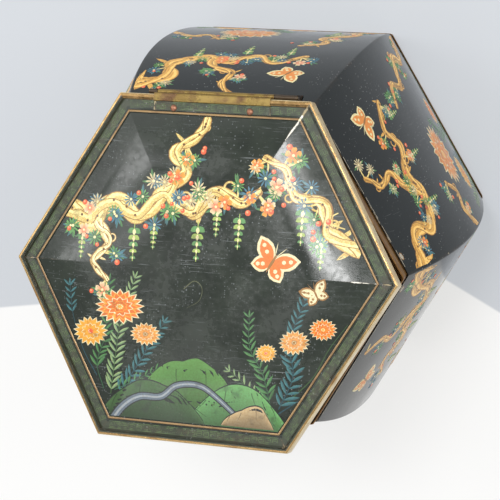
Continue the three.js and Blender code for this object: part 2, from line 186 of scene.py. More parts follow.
class Draft:
    """A mesh being put together from grids and plates, in millimetres."""

    def __init__(self) -> None:
        """Starts with nothing."""
        self.points: list[np.ndarray] = []
        self.faces: list[tuple[int, ...]] = []
        self.uvs: list[np.ndarray] = []
        self.edge: list[np.ndarray] = []
        self.ink: list[np.ndarray] = []
        self.slots: list[int] = []
        self.count = 0

    def add(
        self,
        points: np.ndarray,
        faces: Iterable[tuple[int, ...]],
        uv: np.ndarray | None = None,
        edge: np.ndarray | float = 0.0,
        ink: Sequence[float] = WHITE,
        slot: int = 0,
    ) -> None:
        """Adds points and the faces between them.

        Args:
            points: N by 3 places.
            faces: Corner numbers of each face, counted in these points.
            uv: N by 2 places on the flat sheet, in millimetres.
            edge: How close each point is to a worn edge, from 0 to 1.
            ink: Printed colour in linear light, one or one for each point. A fourth number
                is the share of bark grain.
            slot: Material number of these faces.
        """
        points = np.asarray(points, float).reshape(-1, 3)
        size = len(points)
        new = [tuple(corner + self.count for corner in face) for face in faces]
        self.points.append(points)
        self.faces.extend(new)
        self.uvs.append(points[:, :2] if uv is None else np.asarray(uv, float).reshape(-1, 2))
        self.edge.append(np.broadcast_to(np.asarray(edge, float), (size,)))
        tones = np.asarray(ink, float).reshape(-1, np.shape(ink)[-1])
        if tones.shape[1] == 3:
            tones = np.column_stack([tones, np.zeros(len(tones))])
        self.ink.append(np.broadcast_to(tones, (size, 4)))
        self.slots.extend([slot] * len(new))
        self.count += size

    def grid(
        self,
        points: np.ndarray,
        uv: np.ndarray | None = None,
        edge: np.ndarray | float = 0.0,
        ink: Sequence[float] = WHITE,
        slot: int = 0,
    ) -> None:
        """Adds a sheet of four-sided faces.

        Args:
            points: Rows by columns by 3 places. The rest is as in add, in rows and columns.
            uv: Places on the flat sheet.
            edge: Closeness to a worn edge.
            ink: Printed colour.
            slot: Material number.
        """
        rows, columns = points.shape[:2]
        starts = (i * columns + j for i in range(rows - 1) for j in range(columns - 1))
        faces = [(a, a + 1, a + columns + 1, a + columns) for a in starts]
        self.add(points, faces, uv, edge if np.isscalar(edge) else np.ravel(edge), ink, slot)

    def shell(
        self,
        outer: np.ndarray,
        inner: np.ndarray,
        uv: np.ndarray,
        edge: np.ndarray,
        inside_slot: int = 1,
    ) -> None:
        """Adds a sheet with thickness between two grids of the same size.

        Args:
            outer: Rows by columns by 3 places of the outer face.
            inner: The same for the inner face.
            uv: Places on the flat sheet.
            edge: Closeness to a worn edge.
            inside_slot: Material number of the inner face.
        """
        self.grid(outer, uv, edge)
        self.grid(inner, uv, edge, slot=inside_slot)
        for rim in RIMS:
            band = np.stack([outer[rim], inner[rim]])
            self.grid(band, np.stack([uv[rim]] * 2), 1.0)

    def slab(self, flat: np.ndarray, high: float, ink: Sequence[float]) -> None:
        """Adds a thin printed layer over a flat grid.

        Args:
            flat: Rows by columns by 2 places.
            high: Height of its top.
            ink: Printed colour, one or rows by columns of them.
        """
        top, low = (np.dstack([flat, np.full(flat.shape[:2], z)]) for z in (high, LOW))
        self.grid(top, ink=ink)
        self.grid(low, ink=ink)
        for rim in RIMS:
            tones = ink if np.ndim(ink) == 1 else np.stack([ink[rim]] * 2)
            self.grid(np.stack([top[rim], low[rim]]), ink=tones)

    def plate(self, outline: np.ndarray, high: float, ink: Sequence[float]) -> None:
        """Adds a thin printed plate that is convex seen from its middle.

        Args:
            outline: N by 2 places, counter-clockwise.
            high: Height of its top.
            ink: Printed colour, one or one for each point of the outline and for the middle.
        """
        flat = np.asarray(outline, float)
        n = len(flat)
        if np.ndim(ink) == 2:
            ink = np.vstack([ink[:n], ink[:n], ink[-1:], ink[-1:]])
        middle = flat.mean(axis=0)
        rows = [np.column_stack([flat, np.full(n, z)]) for z in (LOW, high)]
        ends = np.array([[*middle, LOW], [*middle, high]])
        faces: list[tuple[int, ...]] = []
        for i in range(n):
            j = (i + 1) % n
            faces += [(i, j, n + j, n + i), (2 * n, j, i), (2 * n + 1, n + i, n + j)]
        self.add(np.vstack([*rows, ends]), faces, ink=ink)

    def build(self, name: str, sharp_deg: float = 38.0) -> Piece:
        """Makes the object, closes its seams and turns its faces outwards.

        Args:
            name: The object's name.
            sharp_deg: Edges that turn more than this stay sharp.

        Returns:
            The new object, linked to the scene.
        """
        mesh = bpy.data.meshes.new(name)
        mesh.from_pydata((np.vstack(self.points) * MM).tolist(), [], self.faces)
        mesh.polygons.foreach_set("material_index", self.slots)
        corners = np.zeros(len(mesh.loops), int)
        mesh.loops.foreach_get("vertex_index", corners)
        uv_map = mesh.uv_layers.new(name="Sheet")
        uv_map.data.foreach_set("uv", (np.vstack(self.uvs)[corners] * MM).ravel())
        edge = mesh.attributes.new("edge", "FLOAT", "POINT")
        edge.data.foreach_set("value", np.concatenate(self.edge).astype(np.float32))
        ink = mesh.attributes.new("ink", "FLOAT_COLOR", "POINT")
        ink.data.foreach_set("color", np.vstack(self.ink).astype(np.float32).ravel())
        close_mesh(mesh, sharp_deg)
        return linked(bpy.data.objects.new(name, mesh))


def linked(obj: Piece) -> Piece:
    """Links a new object to the scene and returns it."""
    bpy.context.scene.collection.objects.link(obj)
    return obj


def close_mesh(mesh: bpy.types.Mesh, sharp_deg: float) -> None:
    """Merges doubled points, turns the faces outwards and marks the sharp edges.

    Args:
        mesh: The mesh to mend.
        sharp_deg: Edges that turn more than this stay sharp.
    """
    work = bmesh.new()
    work.from_mesh(mesh)
    bmesh.ops.remove_doubles(work, verts=work.verts, dist=1e-7)
    bmesh.ops.dissolve_degenerate(work, edges=work.edges, dist=1e-8)
    bmesh.ops.recalc_face_normals(work, faces=work.faces)
    limit = math.radians(sharp_deg)
    for edge in work.edges:
        edge.smooth = not edge.is_manifold or edge.calc_face_angle(0.0) < limit
    for face in work.faces:
        face.smooth = True
    work.to_mesh(mesh)
    work.free()
    mesh.update()


def run_along(line: np.ndarray) -> np.ndarray:
    """How far along a line each of its points lies."""
    return np.concatenate([[0], np.cumsum(np.linalg.norm(np.diff(line, axis=0), axis=1))])


def hex_ring(apothem: float, corner: float) -> np.ndarray:
    """A hexagon with rounded corners and ridges on the X axis, closed on itself.

    Args:
        apothem: Distance from the axis to a flat side.
        corner: Radius of the corners.

    Returns:
        N by 3: the place and the closeness to a corner, counter-clockwise.
    """
    per_side, per_corner, near_reach = 12, 5, 12
    apothem = max(apothem, 0.0)
    corner = min(max(corner, 0.02), max(apothem, 0.02))
    half = max((apothem - corner) * TAN30, 0.0)
    points: list[tuple[float, float, float]] = []
    for side in range(SIDES):
        turn = side * SECTOR
        cos, sin = math.cos(turn), math.sin(turn)
        for step in range(per_side):
            t = 1 - 2 * step / per_side
            x, y = half * t, apothem
            near = max(0.0, 1 - (1 - abs(t)) * half / near_reach)
            points.append((x * cos - y * sin, x * sin + y * cos, near))
        for step in range(per_corner):
            angle = math.pi / 2 + SECTOR * step / per_corner
            x = -half + corner * math.cos(angle)
            y = apothem - corner + corner * math.sin(angle)
            points.append((x * cos - y * sin, x * sin + y * cos, 1.0))
    points.append(points[0])
    return np.array(points)


def hex_sweep(
    draft: Draft,
    section: Sequence[tuple[float, float, float]],
    corner: float,
    corner_at: float,
    slot_of: Callable[[int], int] = lambda _: 0,
) -> None:
    """Carries a cross-section round the hexagon.

    Args:
        draft: The mesh that grows.
        section: Apothem, height and wear of each point, in order, closed by its first point.
        corner: Corner radius at the apothem corner_at.
        corner_at: The apothem where the corners have that radius.
        slot_of: Gives the material number of each step along the section.
    """
    rings = [hex_ring(a, corner + a - corner_at) for a, _, _ in section]
    run = run_along(rings[0][:, :2])
    along = 0.0
    for k in range(len(section) - 1):
        (a0, z0, w0), (a1, z1, w1) = section[k], section[k + 1]
        length = math.hypot(a1 - a0, z1 - z0)
        pair, uvs, edges = [], [], []
        for ring, z, wear, v in ((rings[k], z0, w0, along), (rings[k + 1], z1, w1, along + length)):
            pair.append(np.column_stack([ring[:, :2], np.full(len(ring), z)]))
            uvs.append(np.column_stack([run, np.full(len(ring), v)]))
            edges.append(np.maximum(wear, 0.85 * ring[:, 2] ** 3))
        draft.grid(np.stack(pair), np.stack(uvs), np.stack(edges), slot=slot_of(k))
        along += length


def arc(
    centre: tuple[float, float], radius: float, start: float, end: float, steps: int, wear: float
) -> list[tuple[float, float, float]]:
    """Points on an arc in a section.

    Args:
        centre: Its centre.
        radius: Its radius.
        start: First angle in degrees.
        end: Last angle in degrees.
        steps: Number of steps.
        wear: Wear of each point.

    Returns:
        Apothem, height and wear of each point, first and last included.
    """
    x, z = centre
    angles = [math.radians(start + (end - start) * i / steps) for i in range(steps + 1)]
    return [(x + radius * math.cos(a), z + radius * math.sin(a), wear) for a in angles]


def bent_section(line: Line, thickness: float, bend: float) -> tuple[np.ndarray, np.ndarray]:
    """A bent strip seen on its edge.

    Args:
        line: Corners of the strip's middle line.
        thickness: The sheet's thickness.
        bend: Radius of the middle line at each corner.

    Returns:
        The points of one face and of the other.
    """
    corners = [np.array(p, float) for p in line]
    path = [corners[0]]
    for before, here, after in zip(corners, corners[1:], corners[2:]):
        back, ahead = before - here, after - here
        reach = min(bend, np.linalg.norm(back) * 0.45, np.linalg.norm(ahead) * 0.45)
        start = here + back / np.linalg.norm(back) * reach
        end = here + ahead / np.linalg.norm(ahead) * reach
        for t in np.linspace(0, 1, 5):
            path.append((1 - t) ** 2 * start + 2 * t * (1 - t) * here + t**2 * end)
    path.append(corners[-1])
    points = np.array(path)
    tangent = np.gradient(points, axis=0)
    tangent /= np.linalg.norm(tangent, axis=1)[:, None]
    normal = np.column_stack([-tangent[:, 1], tangent[:, 0]]) * thickness / 2
    return points + normal, points - normal


class Nodes:
    """A short way to write a node tree."""

    def __init__(self, tree: bpy.types.NodeTree) -> None:
        """Takes the tree to write in."""
        self.tree = tree

    def add(
        self, kind: str, feeds: dict[str | int, object] | None = None, **settings: object
    ) -> bpy.types.Node:
        """Adds a node.

        Args:
            kind: The node's type.
            feeds: What goes into its inputs, by their name or number.
            settings: Its properties.

        Returns:
            The new node.
        """
        node = self.tree.nodes.new(kind)
        for name, value in settings.items():
            setattr(node, name, value)
        for key, value in (feeds or {}).items():
            self.feed(node.inputs[key], value)
        return node

    def feed(self, target: Socket, value: object) -> None:
        """Links an output, or sets a plain value, into an input.

        Args:
            target: The input.
            value: The output or the value.
        """
        if isinstance(value, Socket):
            self.tree.links.new(value, target)
        elif isinstance(value, tuple) and len(value) == 3 and target.type == "RGBA":
            target.default_value = (*value, 1.0)
        else:
            target.default_value = value

    def math(self, operation: str, *values: object, clamp: bool = False) -> Socket:
        """A Math node's result, kept from 0 to 1 where it is clamped."""
        feeds = dict(enumerate(values))
        return self.add("ShaderNodeMath", feeds, operation=operation, use_clamp=clamp).outputs[0]

    def times(self, *values: object, clamp: bool = False) -> Socket:
        """The product of two values."""
        return self.math("MULTIPLY", *values, clamp=clamp)

    def plus(self, *values: object, clamp: bool = False) -> Socket:
        """The sum of two values."""
        return self.math("ADD", *values, clamp=clamp)

    def minus(self, *values: object) -> Socket:
        """The first value less the second."""
        return self.math("SUBTRACT", *values)

    def ramp(self, value: object, low: object, high: object) -> Socket:
        """Turns values from low to high into 0 to 1, smoothly."""
        feeds = dict(enumerate((value, low, high, 0.0, 1.0)))
        return self.add("ShaderNodeMapRange", feeds, interpolation_type="SMOOTHSTEP").outputs["Result"]

    def mix(self, share: object, first: object, second: object, how: str = "MIX") -> Socket:
        """Mixes two colours by a share of the second one."""
        feeds = {0: share, 6: first, 7: second}
        return self.add("ShaderNodeMix", feeds, data_type="RGBA", blend_type=how).outputs[2]

    def noise(self, place: object, scale: object, detail: float = 3.0) -> Socket:
        """Noise of a given scale per metre, from 0 to 1."""
        feeds = {"Vector": place, "Scale": scale, "Detail": detail}
        return self.add("ShaderNodeTexNoise", feeds).outputs["Fac"]

    def stretched(self, place: object, turn: float, scale: Colour) -> Socket:
        """A place turned about Z and Y and stretched, for scratches that run one way."""
        feeds = {"Vector": place, "Rotation": (turn * 0.4, turn * 0.7, turn), "Scale": scale}
        return self.add("ShaderNodeMapping", feeds).outputs["Vector"]

    def vector(self, x: object, y: object, z: object) -> Socket:
        """Puts three numbers together."""
        return self.add("ShaderNodeCombineXYZ", {0: x, 1: y, 2: z}).outputs[0]

    def group(self, tree: bpy.types.NodeTree, **values: object) -> bpy.types.Node:
        """Places a node group with values for its inputs."""
        return self.add("ShaderNodeGroup", values, node_tree=tree)


class Effect:
    """A shader node group: a place and some numbers in, plain values out."""

    def __init__(self, name: str, numbers: dict[str, float], outputs: Sequence[str]) -> None:
        """Starts the group.

        Args:
            name: Its name.
            numbers: First value of each input but the place.
            outputs: Names of the outputs.
        """
        tree = bpy.data.node_groups.new(name, "ShaderNodeTree")
        tree.interface.new_socket("Place", in_out="INPUT", socket_type="NodeSocketVector")
        for label, start in numbers.items():
            socket = tree.interface.new_socket(label, in_out="INPUT", socket_type="NodeSocketFloat")
            socket.default_value = start
        for label in outputs:
            tree.interface.new_socket(label, in_out="OUTPUT", socket_type="NodeSocketFloat")
        self.nodes = Nodes(tree)
        self.given = self.nodes.add("NodeGroupInput").outputs
        self.out = self.nodes.add("NodeGroupOutput").inputs

    def done(self, **results: Socket) -> bpy.types.NodeTree:
        """Links the outputs and hands the group out."""
        for label, result in results.items():
            self.nodes.feed(self.out[label], result)
        return self.nodes.tree


def scratch_group() -> bpy.types.NodeTree:
    """Fine scratches in three directions, thin and broken, as the output Mask.

    Returns:
        The group.
    """
    effect = Effect("Scratches", {"Amount": 0.5}, ["Mask"])
    nodes, place, amount = effect.nodes, effect.given["Place"], effect.given["Amount"]
    runs = ((0.5, (60, 2600, 60), 38.0), (2.1, (90, 3400, 90), 41.0), (1.2, (40, 1800, 40), 45.0))
    total: object = 0.0
    for turn, scale, patches in runs:
        lines = nodes.noise(nodes.stretched(place, turn, scale), 1.0, 2.0)
        edge = nodes.minus(0.745, nodes.times(amount, 0.08))
        thin = nodes.ramp(lines, edge, nodes.plus(edge, 0.03))
        patch = nodes.ramp(nodes.noise(place, patches, 2.0), 0.42, 0.62)
        total = nodes.plus(total, nodes.times(thin, patch))
    return effect.done(Mask=nodes.times(total, amount, clamp=True))


def speck_group() -> bpy.types.NodeTree:
    """Small round chips and dust specks of mixed size, as the output Mask.

    Returns:
        The group.
    """
    effect = Effect("Specks", {"Scale": 900.0, "Amount": 0.5}, ["Mask"])
    nodes, place = effect.nodes, effect.given["Place"]
    feeds = {"Vector": place, "Scale": effect.given["Scale"], "Randomness": 1.0}
    cells = nodes.add("ShaderNodeTexVoronoi", feeds).outputs
    dots = nodes.ramp(cells["Distance"], 0.34, 0.16)
    split = nodes.add("ShaderNodeSeparateColor", {0: cells["Color"]})
    edge = nodes.minus(1.0, nodes.times(effect.given["Amount"], 0.5))
    chosen = nodes.math("GREATER_THAN", split.outputs[0], edge)
    patch = nodes.ramp(nodes.noise(place, 45.0), 0.38, 0.66)
    return effect.done(Mask=nodes.times(nodes.times(dots, chosen), patch))


def edge_wear_group() -> bpy.types.NodeTree:
    """Paint rubbed off along edges, broken up by noise, as the outputs Bare and Halo.

    Returns:
        The group.
    """
    numbers = {"Edge": 0.0, "Amount": 0.5, "Scale": 260.0}
    effect = Effect("Edge wear", numbers, ["Bare", "Halo"])
    nodes, given = effect.nodes, effect.given
    coarse = nodes.noise(given["Place"], 55.0)
    fine = nodes.noise(given["Place"], given["Scale"], 5.0)
    rough = nodes.plus(nodes.times(coarse, 0.6), nodes.times(fine, 0.4))
    reach = nodes.plus(given["Edge"], nodes.times(nodes.minus(rough, 0.5), 2.2))
    limit = nodes.minus(1.35, nodes.times(given["Amount"], 0.75))
    low = nodes.minus(limit, 0.35)
    halo = nodes.ramp(reach, low, nodes.plus(low, 0.5))
    return effect.done(Bare=nodes.ramp(reach, limit, nodes.plus(limit, 0.12)), Halo=halo)


def surface_group() -> bpy.types.NodeTree:
    """Hand-worked sheet: dents and pitting as the output Height, dulled patches as Dull.

    Returns:
        The group.
    """
    effect = Effect("Worked sheet", {"Dents": 1.0, "Pitting": 0.2}, ["Height", "Dull"])
    nodes, given, place = effect.nodes, effect.given, effect.given["Place"]
    dents = nodes.times(nodes.noise(place, 26.0, 1.5), given["Dents"])
    fine = nodes.times(nodes.noise(place, 1500.0), given["Pitting"])
    smear = nodes.times(nodes.noise(place, 34.0, 5.0), 0.65)
    grain = nodes.times(nodes.noise(place, 420.0), 0.35)
    dull = nodes.ramp(nodes.plus(smear, grain), 0.36, 0.66)
    return effect.done(Height=nodes.plus(dents, nodes.times(fine, 0.02)), Dull=dull)


@dataclass
class Effects:
    """The node groups that the finishes share."""

    scratches: bpy.types.NodeTree = field(default_factory=scratch_group)
    specks: bpy.types.NodeTree = field(default_factory=speck_group)
    wear: bpy.types.NodeTree = field(default_factory=edge_wear_group)
    sheet: bpy.types.NodeTree = field(default_factory=surface_group)


@dataclass(frozen=True)
class Finish:
    """A finish on sheet metal: a coat over bare metal, with scratches, specks and wear."""

    name: str
    base: Colour
    shade: Colour
    bare: Colour = srgb(196, 180, 150)
    halo: Colour = srgb(92, 66, 42)
    scratch: Colour = srgb(150, 152, 148)
    metallic: float = 0.0
    bare_metallic: float = 0.75
    gloss: float = 0.22
    dull: float = 0.42
    wear: float = 0.4
    wear_scale: float = 260.0
    scratches: float = 0.4
    specks: float = 0.25
    speck_scale: float = 900.0
    dents: float = 1.0
    pitting: float = 0.2
    bump: float = 0.0012
    coat: float = 0.0
    specular: float = 0.5
    stain: float = 0.0
    rub: float = 0.5
    rub_from: float = 0.56
    rub_scale: float = 160.0
    printed: bool = False
    streaks: bool = False

    def make(self, effects: Effects) -> bpy.types.Material:
        """Builds the material with the shared node groups.

        Args:
            effects: The groups.

        Returns:
            The material.
        """
        material = bpy.data.materials.new(self.name)
        material.use_nodes = True
        material.node_tree.nodes.clear()
        nodes = Nodes(material.node_tree)
        place = nodes.add("ShaderNodeTexCoord").outputs["Object"]
        edge = nodes.add("ShaderNodeAttribute", attribute_name="edge").outputs["Fac"]
        sheet = nodes.group(effects.sheet, Place=place, Dents=self.dents, Pitting=self.pitting)
        wear = nodes.group(effects.wear, Place=place, Edge=edge, Amount=self.wear, Scale=self.wear_scale)
        marks = nodes.group(effects.scratches, Place=place, Amount=self.scratches)
        dust = nodes.group(effects.specks, Place=place, Scale=self.speck_scale, Amount=self.specks)
        bare, halo, scratched = wear.outputs["Bare"], wear.outputs["Halo"], marks.outputs["Mask"]
        colour = nodes.mix(nodes.times(halo, 0.75), self.coat_colour(nodes, place), self.halo)
        colour = nodes.mix(nodes.times(scratched, 0.5), colour, self.scratch)
        colour = nodes.mix(nodes.times(dust.outputs["Mask"], 0.55), colour, self.scratch)
        spread = nodes.times(sheet.outputs["Dull"], self.dull - self.gloss)
        rough = nodes.plus(nodes.plus(spread, self.gloss), nodes.times(scratched, 0.25))
        change = nodes.times(bare, self.bare_metallic - self.metallic)
        height = nodes.minus(sheet.outputs["Height"], nodes.times(bare, 0.02))
        height = nodes.minus(height, nodes.times(scratched, 0.008))
        bump = nodes.add("ShaderNodeBump", {"Distance": self.bump, "Strength": 0.8, "Height": height})
        shader = nodes.add("ShaderNodeBsdfPrincipled", {
            "Base Color": nodes.mix(bare, colour, self.bare),
            "Roughness": nodes.plus(rough, nodes.times(halo, 0.12), clamp=True),
            "Metallic": nodes.plus(change, self.metallic, clamp=True),
            "Specular IOR Level": self.specular,
            "Coat Weight": self.coat,
            "Coat Roughness": 0.12,
            "Normal": bump.outputs["Normal"],
        })
        nodes.add("ShaderNodeOutputMaterial", {"Surface": shader.outputs[0]})
        return material

    def coat_colour(self, nodes: Nodes, place: Socket) -> Socket:
        """The coat's colour, with its streaks and tarnish.

        Args:
            nodes: The material's tree.
            place: Object coordinates.

        Returns:
            The colour.
        """
        if self.printed:
            coat = self.print_colour(nodes, place)
        else:
            coat = nodes.mix(nodes.noise(place, 70.0, 4.0), self.base, self.shade)
        if self.streaks:
            sheet = nodes.add("ShaderNodeUVMap", uv_map="Sheet").outputs["UV"]
            lines = nodes.noise(nodes.stretched(sheet, 0.0, (70, 2400, 1)), 1.0, 4.0)
            coat = nodes.mix(nodes.times(nodes.ramp(lines, 0.35, 0.7), 0.6), coat, self.halo)
        tarnish = nodes.ramp(nodes.noise(place, 120.0, 6.0), 0.48, 0.66)
        return nodes.mix(nodes.times(tarnish, self.stain), coat, self.halo)

    def print_colour(self, nodes: Nodes, place: Socket) -> Socket:
        """The printed ink: the piece's own colour, mottled and rubbed through to the ground.

        Args:
            nodes: The material's tree.
            place: Object coordinates.

        Returns:
            The ink's colour.
        """
        ink = nodes.add("ShaderNodeAttribute", attribute_name="ink").outputs
        grain = nodes.ramp(nodes.noise(place, 1100.0, 4.0), 0.25, 0.8)
        feeds = {"Vector": place, "Scale": 820.0}
        cells = nodes.add("ShaderNodeTexVoronoi", feeds, feature="DISTANCE_TO_EDGE")
        crack = nodes.ramp(cells.outputs["Distance"], 0.16, 0.04)
        bark = nodes.times(crack, nodes.times(ink["Alpha"], 0.8))
        share = nodes.math("MAXIMUM", nodes.times(grain, 0.5), bark)
        darker = nodes.mix(share, ink["Color"], srgb(214, 184, 130), "MULTIPLY")
        rubbed = nodes.noise(place, self.rub_scale, 6.0)
        rubbed = nodes.ramp(rubbed, self.rub_from, self.rub_from + 0.2)
        return nodes.mix(nodes.times(rubbed, self.rub), darker, self.shade)


class Look(Enum):
    """The finishes of the tin."""

    LACQUER = Finish(
        "Black wall lacquer", srgb(5, 11, 11), srgb(15, 23, 22), gloss=0.08, dull=0.2,
        wear=0.16, wear_scale=620.0, scratches=0.35, specks=0.3, bump=0.0007,
        bare=srgb(168, 158, 138), halo=srgb(46, 38, 30),
    )
    # Its bare colour is near-white and barely metallic, so the lines it paints along the dome's hips are
    # partly worn lacquer and partly a painted highlight.
    LID_LACQUER = Finish(
        "Black lid lacquer", srgb(13, 19, 16), srgb(48, 56, 46), gloss=0.15, dull=0.36, wear=0.36,
        wear_scale=480.0, scratches=0.75, specks=0.6, bump=0.0011,
        scratch=srgb(142, 148, 150), halo=srgb(70, 62, 50), bare=srgb(222, 218, 204),
        bare_metallic=0.1,
    )
    BORDER = Finish(
        "Green border print", srgb(30, 42, 27), srgb(62, 66, 46), gloss=0.3, dull=0.5, wear=0.5,
        wear_scale=520.0, scratches=0.5, specks=0.7, speck_scale=620.0, bare=srgb(150, 138, 110),
        halo=srgb(70, 54, 36), dents=0.5, stain=0.45,
    )
    GOLD = Finish(
        "Gilt rim", srgb(190, 162, 108), srgb(142, 110, 68), metallic=0.7, gloss=0.16,
        dull=0.38, wear=0.22, wear_scale=420.0, bare=srgb(240, 232, 208), halo=srgb(122, 88, 50),
        dents=0.4, scratches=0.5, specks=0.4, scratch=srgb(96, 70, 42), streaks=True,
        pitting=0.5, stain=0.75,
    )
    HINGE = Finish(
        "Tarnished hinge gilding", srgb(164, 142, 74), srgb(110, 84, 44), metallic=0.5,
        gloss=0.24, dull=0.46, wear=0.35, wear_scale=420.0, bare=srgb(198, 180, 120),
        halo=srgb(92, 62, 44), dents=0.5, scratches=0.6, specks=0.9, scratch=srgb(76, 56, 38),
        pitting=0.8, stain=0.85,
    )
    # A paler, less metallic copy of the gilt rim for the skirt's outer face: a painted highlight that
    # stands in for the bright reflection along the skirt.
    HIGHLIGHT_PALED_GILT = Finish(
        "Gilding paled as painted highlight", srgb(240, 226, 186), srgb(206, 182, 132), metallic=0.35, gloss=0.2,
        dull=0.42, wear=0.2, wear_scale=420.0, bare=srgb(246, 242, 228), halo=srgb(150, 116, 70),
        dents=0.4, scratches=0.5, specks=0.5, scratch=srgb(120, 92, 58), streaks=True, stain=0.35,
    )
    GOLD_LINE = Finish(
        "Gold bead line", srgb(176, 146, 100), srgb(112, 84, 56), metallic=0.35, gloss=0.28,
        dull=0.45, wear=0.35, wear_scale=500.0, bare=srgb(226, 210, 172), scratches=0.3,
        halo=srgb(96, 66, 44), dents=0.4, stain=0.5,
    )
    AMBER = Finish(
        "Amber lacquered tin", srgb(170, 128, 68), srgb(120, 84, 44), metallic=0.6, gloss=0.26,
        dull=0.48, wear=0.32, bare=srgb(206, 176, 128), halo=srgb(66, 36, 20), streaks=True,
        scratches=0.5, specks=0.35, scratch=srgb(188, 148, 96), dents=0.6,
    )
    LEAF = Finish(
        "Dark hinge plate", srgb(58, 50, 42), srgb(88, 72, 54), metallic=0.55, gloss=0.34,
        dull=0.55, wear=0.5, wear_scale=380.0, bare=srgb(142, 122, 94), halo=srgb(72, 46, 28),
        scratches=0.5, specks=0.5, dents=0.3, pitting=0.6,
    )
    WIRE = Finish(
        "Hinge wire", srgb(128, 122, 112), srgb(92, 80, 66), metallic=0.9, gloss=0.28, dull=0.5,
        wear=0.2, scratches=0.6, specks=0.4, dents=0.2, pitting=0.6,
    )
    COPPER = Finish(
        "Copper rivet", srgb(172, 112, 88), srgb(104, 76, 54), metallic=0.6, gloss=0.34,
        dull=0.55, wear=0.35, bare=srgb(206, 150, 124), halo=srgb(84, 62, 42), scratches=0.4,
        specks=0.3, dents=0.2, stain=0.5,
    )
    BAND_INK = Finish(
        "Worn border print", srgb(92, 116, 70), srgb(28, 36, 26), gloss=0.34, dull=0.5, wear=0.4,
        scratches=0.5, specks=0.6, scratch=srgb(120, 112, 84), printed=True, coat=0.15,
        bump=0.0009, rub=0.85, rub_from=0.4, rub_scale=330.0,
    )
    INK = Finish(
        "Printed ink", srgb(200, 160, 90), srgb(34, 36, 32), gloss=0.3, dull=0.46, wear=0.3,
        scratches=0.5, specks=0.35, scratch=srgb(96, 92, 82), printed=True, coat=0.15,
        bump=0.0009,
    )


class Paintbox:
    """Makes each finish once and hands it out."""

    def __init__(self) -> None:
        """Builds the shared effects."""
        self.effects = Effects()
        self.made: dict[Look, bpy.types.Material] = {}

    def get(self, look: Look) -> bpy.types.Material:
        """The material of a finish."""
        if look not in self.made:
            self.made[look] = look.value.make(self.effects)
        return self.made[look]

    def dress(self, obj: Piece, *looks: Look) -> Piece:
        """Gives a piece its materials, in the order of its material numbers."""
        for look in looks:
            obj.data.materials.append(self.get(look))
        return obj


def fit(obj: Piece, body: Body, slot: Slot, *nodes: str) -> None:
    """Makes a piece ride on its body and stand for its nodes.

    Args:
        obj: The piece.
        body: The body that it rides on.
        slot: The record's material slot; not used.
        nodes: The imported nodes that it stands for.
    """
    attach(obj, body.value)
    if nodes:
        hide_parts(*nodes)
    log.info("%s: %d faces, rides on %s", obj.name, len(obj.data.polygons), body.value)


WALLS = tuple(f"wall_{side}" for side in (
    "back", "back_left", "front_left", "front", "front_right", "back_right",
))


@dataclass
class Part:
    """A sub-assembly, with the finishes that it takes."""

    paint: Paintbox


@dataclass
class Walls(Part):
    """The six bulging walls, each a sheet that meets its neighbours on a rounded ridge."""

    ridge_radius: float = 1.1
    ridge_wear: float = 5.0
    rows: int = 64
    columns: int = 22
    corner_steps: int = 4
    lap_width: float = 5.0

    def across(self, apothem: float) -> np.ndarray:
        """Points across a wall at one height, from ridge to ridge.

        Args:
            apothem: The wall's apothem at that height.

        Returns:
            N by 3: across, outwards, and closeness to a ridge.
        """
        radius = self.ridge_radius
        half = (apothem - radius) * TAN30
        spread = np.sin(np.linspace(-1, 1, self.columns + 1) * math.pi / 2)
        flat = np.column_stack([spread * half, np.full(len(spread), apothem)])
        turns = np.linspace(0, SECTOR / 2, self.corner_steps + 1)[1:]
        x = half + radius * np.sin(turns)
        y = apothem - radius + radius * np.cos(turns)
        left = np.column_stack([-x, y])[::-1]
        points = np.vstack([left, flat, np.column_stack([x, y])])
        gone = np.maximum(half - np.abs(points[:, 0]), 0)
        return np.column_stack([points, np.clip(1 - gone / self.ridge_wear, 0, 1)])

    def sheet(self, depth: float) -> tuple[np.ndarray, np.ndarray, np.ndarray]:
        """One face of a wall.

        Args:
            depth: How far under the outer face.

        Returns:
            The places, the places on the flat sheet, and the closeness to an edge.
        """
        places, flat, edges = [], [], []
        for z in np.linspace(TIN.wall_bottom, TIN.wall_top, self.rows + 1):
            row = self.across(TIN.wall_apothem(float(z), depth))
            bent = math.asin((z - TIN.belly_z) / TIN.bulge_radius) * TIN.bulge_radius
            places.append(np.column_stack([row[:, 0], row[:, 1], np.full(len(row), z)]))
            flat.append(np.column_stack([row[:, 0], np.full(len(row), bent)]))
            near_top = np.clip(1 - (TIN.wall_top - z) / 3, 0, 1)
            edges.append(np.maximum(row[:, 2], 1.2 * near_top))
        return np.stack(places), np.stack(flat), np.stack(edges)

    def lap(self, draft: Draft) -> None:
        """Adds the strip that runs on behind the next wall and holds the seam.

        Args:
            draft: The wall's mesh.
        """
        low, high, deep = TIN.wall_bottom + 4.7, TIN.wall_top - 11.0, TIN.sheet + 0.25
        faces = []
        for depth in (deep, deep + TIN.sheet):
            rows = []
            for z in np.linspace(low, high, 33):
                apothem = TIN.wall_apothem(float(z), depth)
                ridge = apothem * TAN30
                x = np.linspace(-ridge + 0.3, -ridge + self.lap_width, 5)
                rows.append(np.column_stack([x, np.full(5, apothem), np.full(5, z)]))
            faces.append(np.stack(rows))
        flat = faces[0][:, :, [0, 2]]
        draft.shell(*faces, flat, np.zeros(flat.shape[:2]))

    def build(self) -> None:
        """Builds the six walls and fits them."""
        outer, flat, edge = self.sheet(0.0)
        inner = self.sheet(TIN.sheet)[0]
        for i, name in enumerate(WALLS):
            draft = Draft()
            draft.shell(outer, inner, flat, edge)
            self.lap(draft)
            skin = draft.build(f"{name}_skin", 60.0)
            skin.data.transform(Matrix.Rotation(i * SECTOR, 4, "Z"))
            fit(self.paint.dress(skin, Look.LACQUER, Look.AMBER), Body.BOX, Slot.BLACK_PRINT, name)


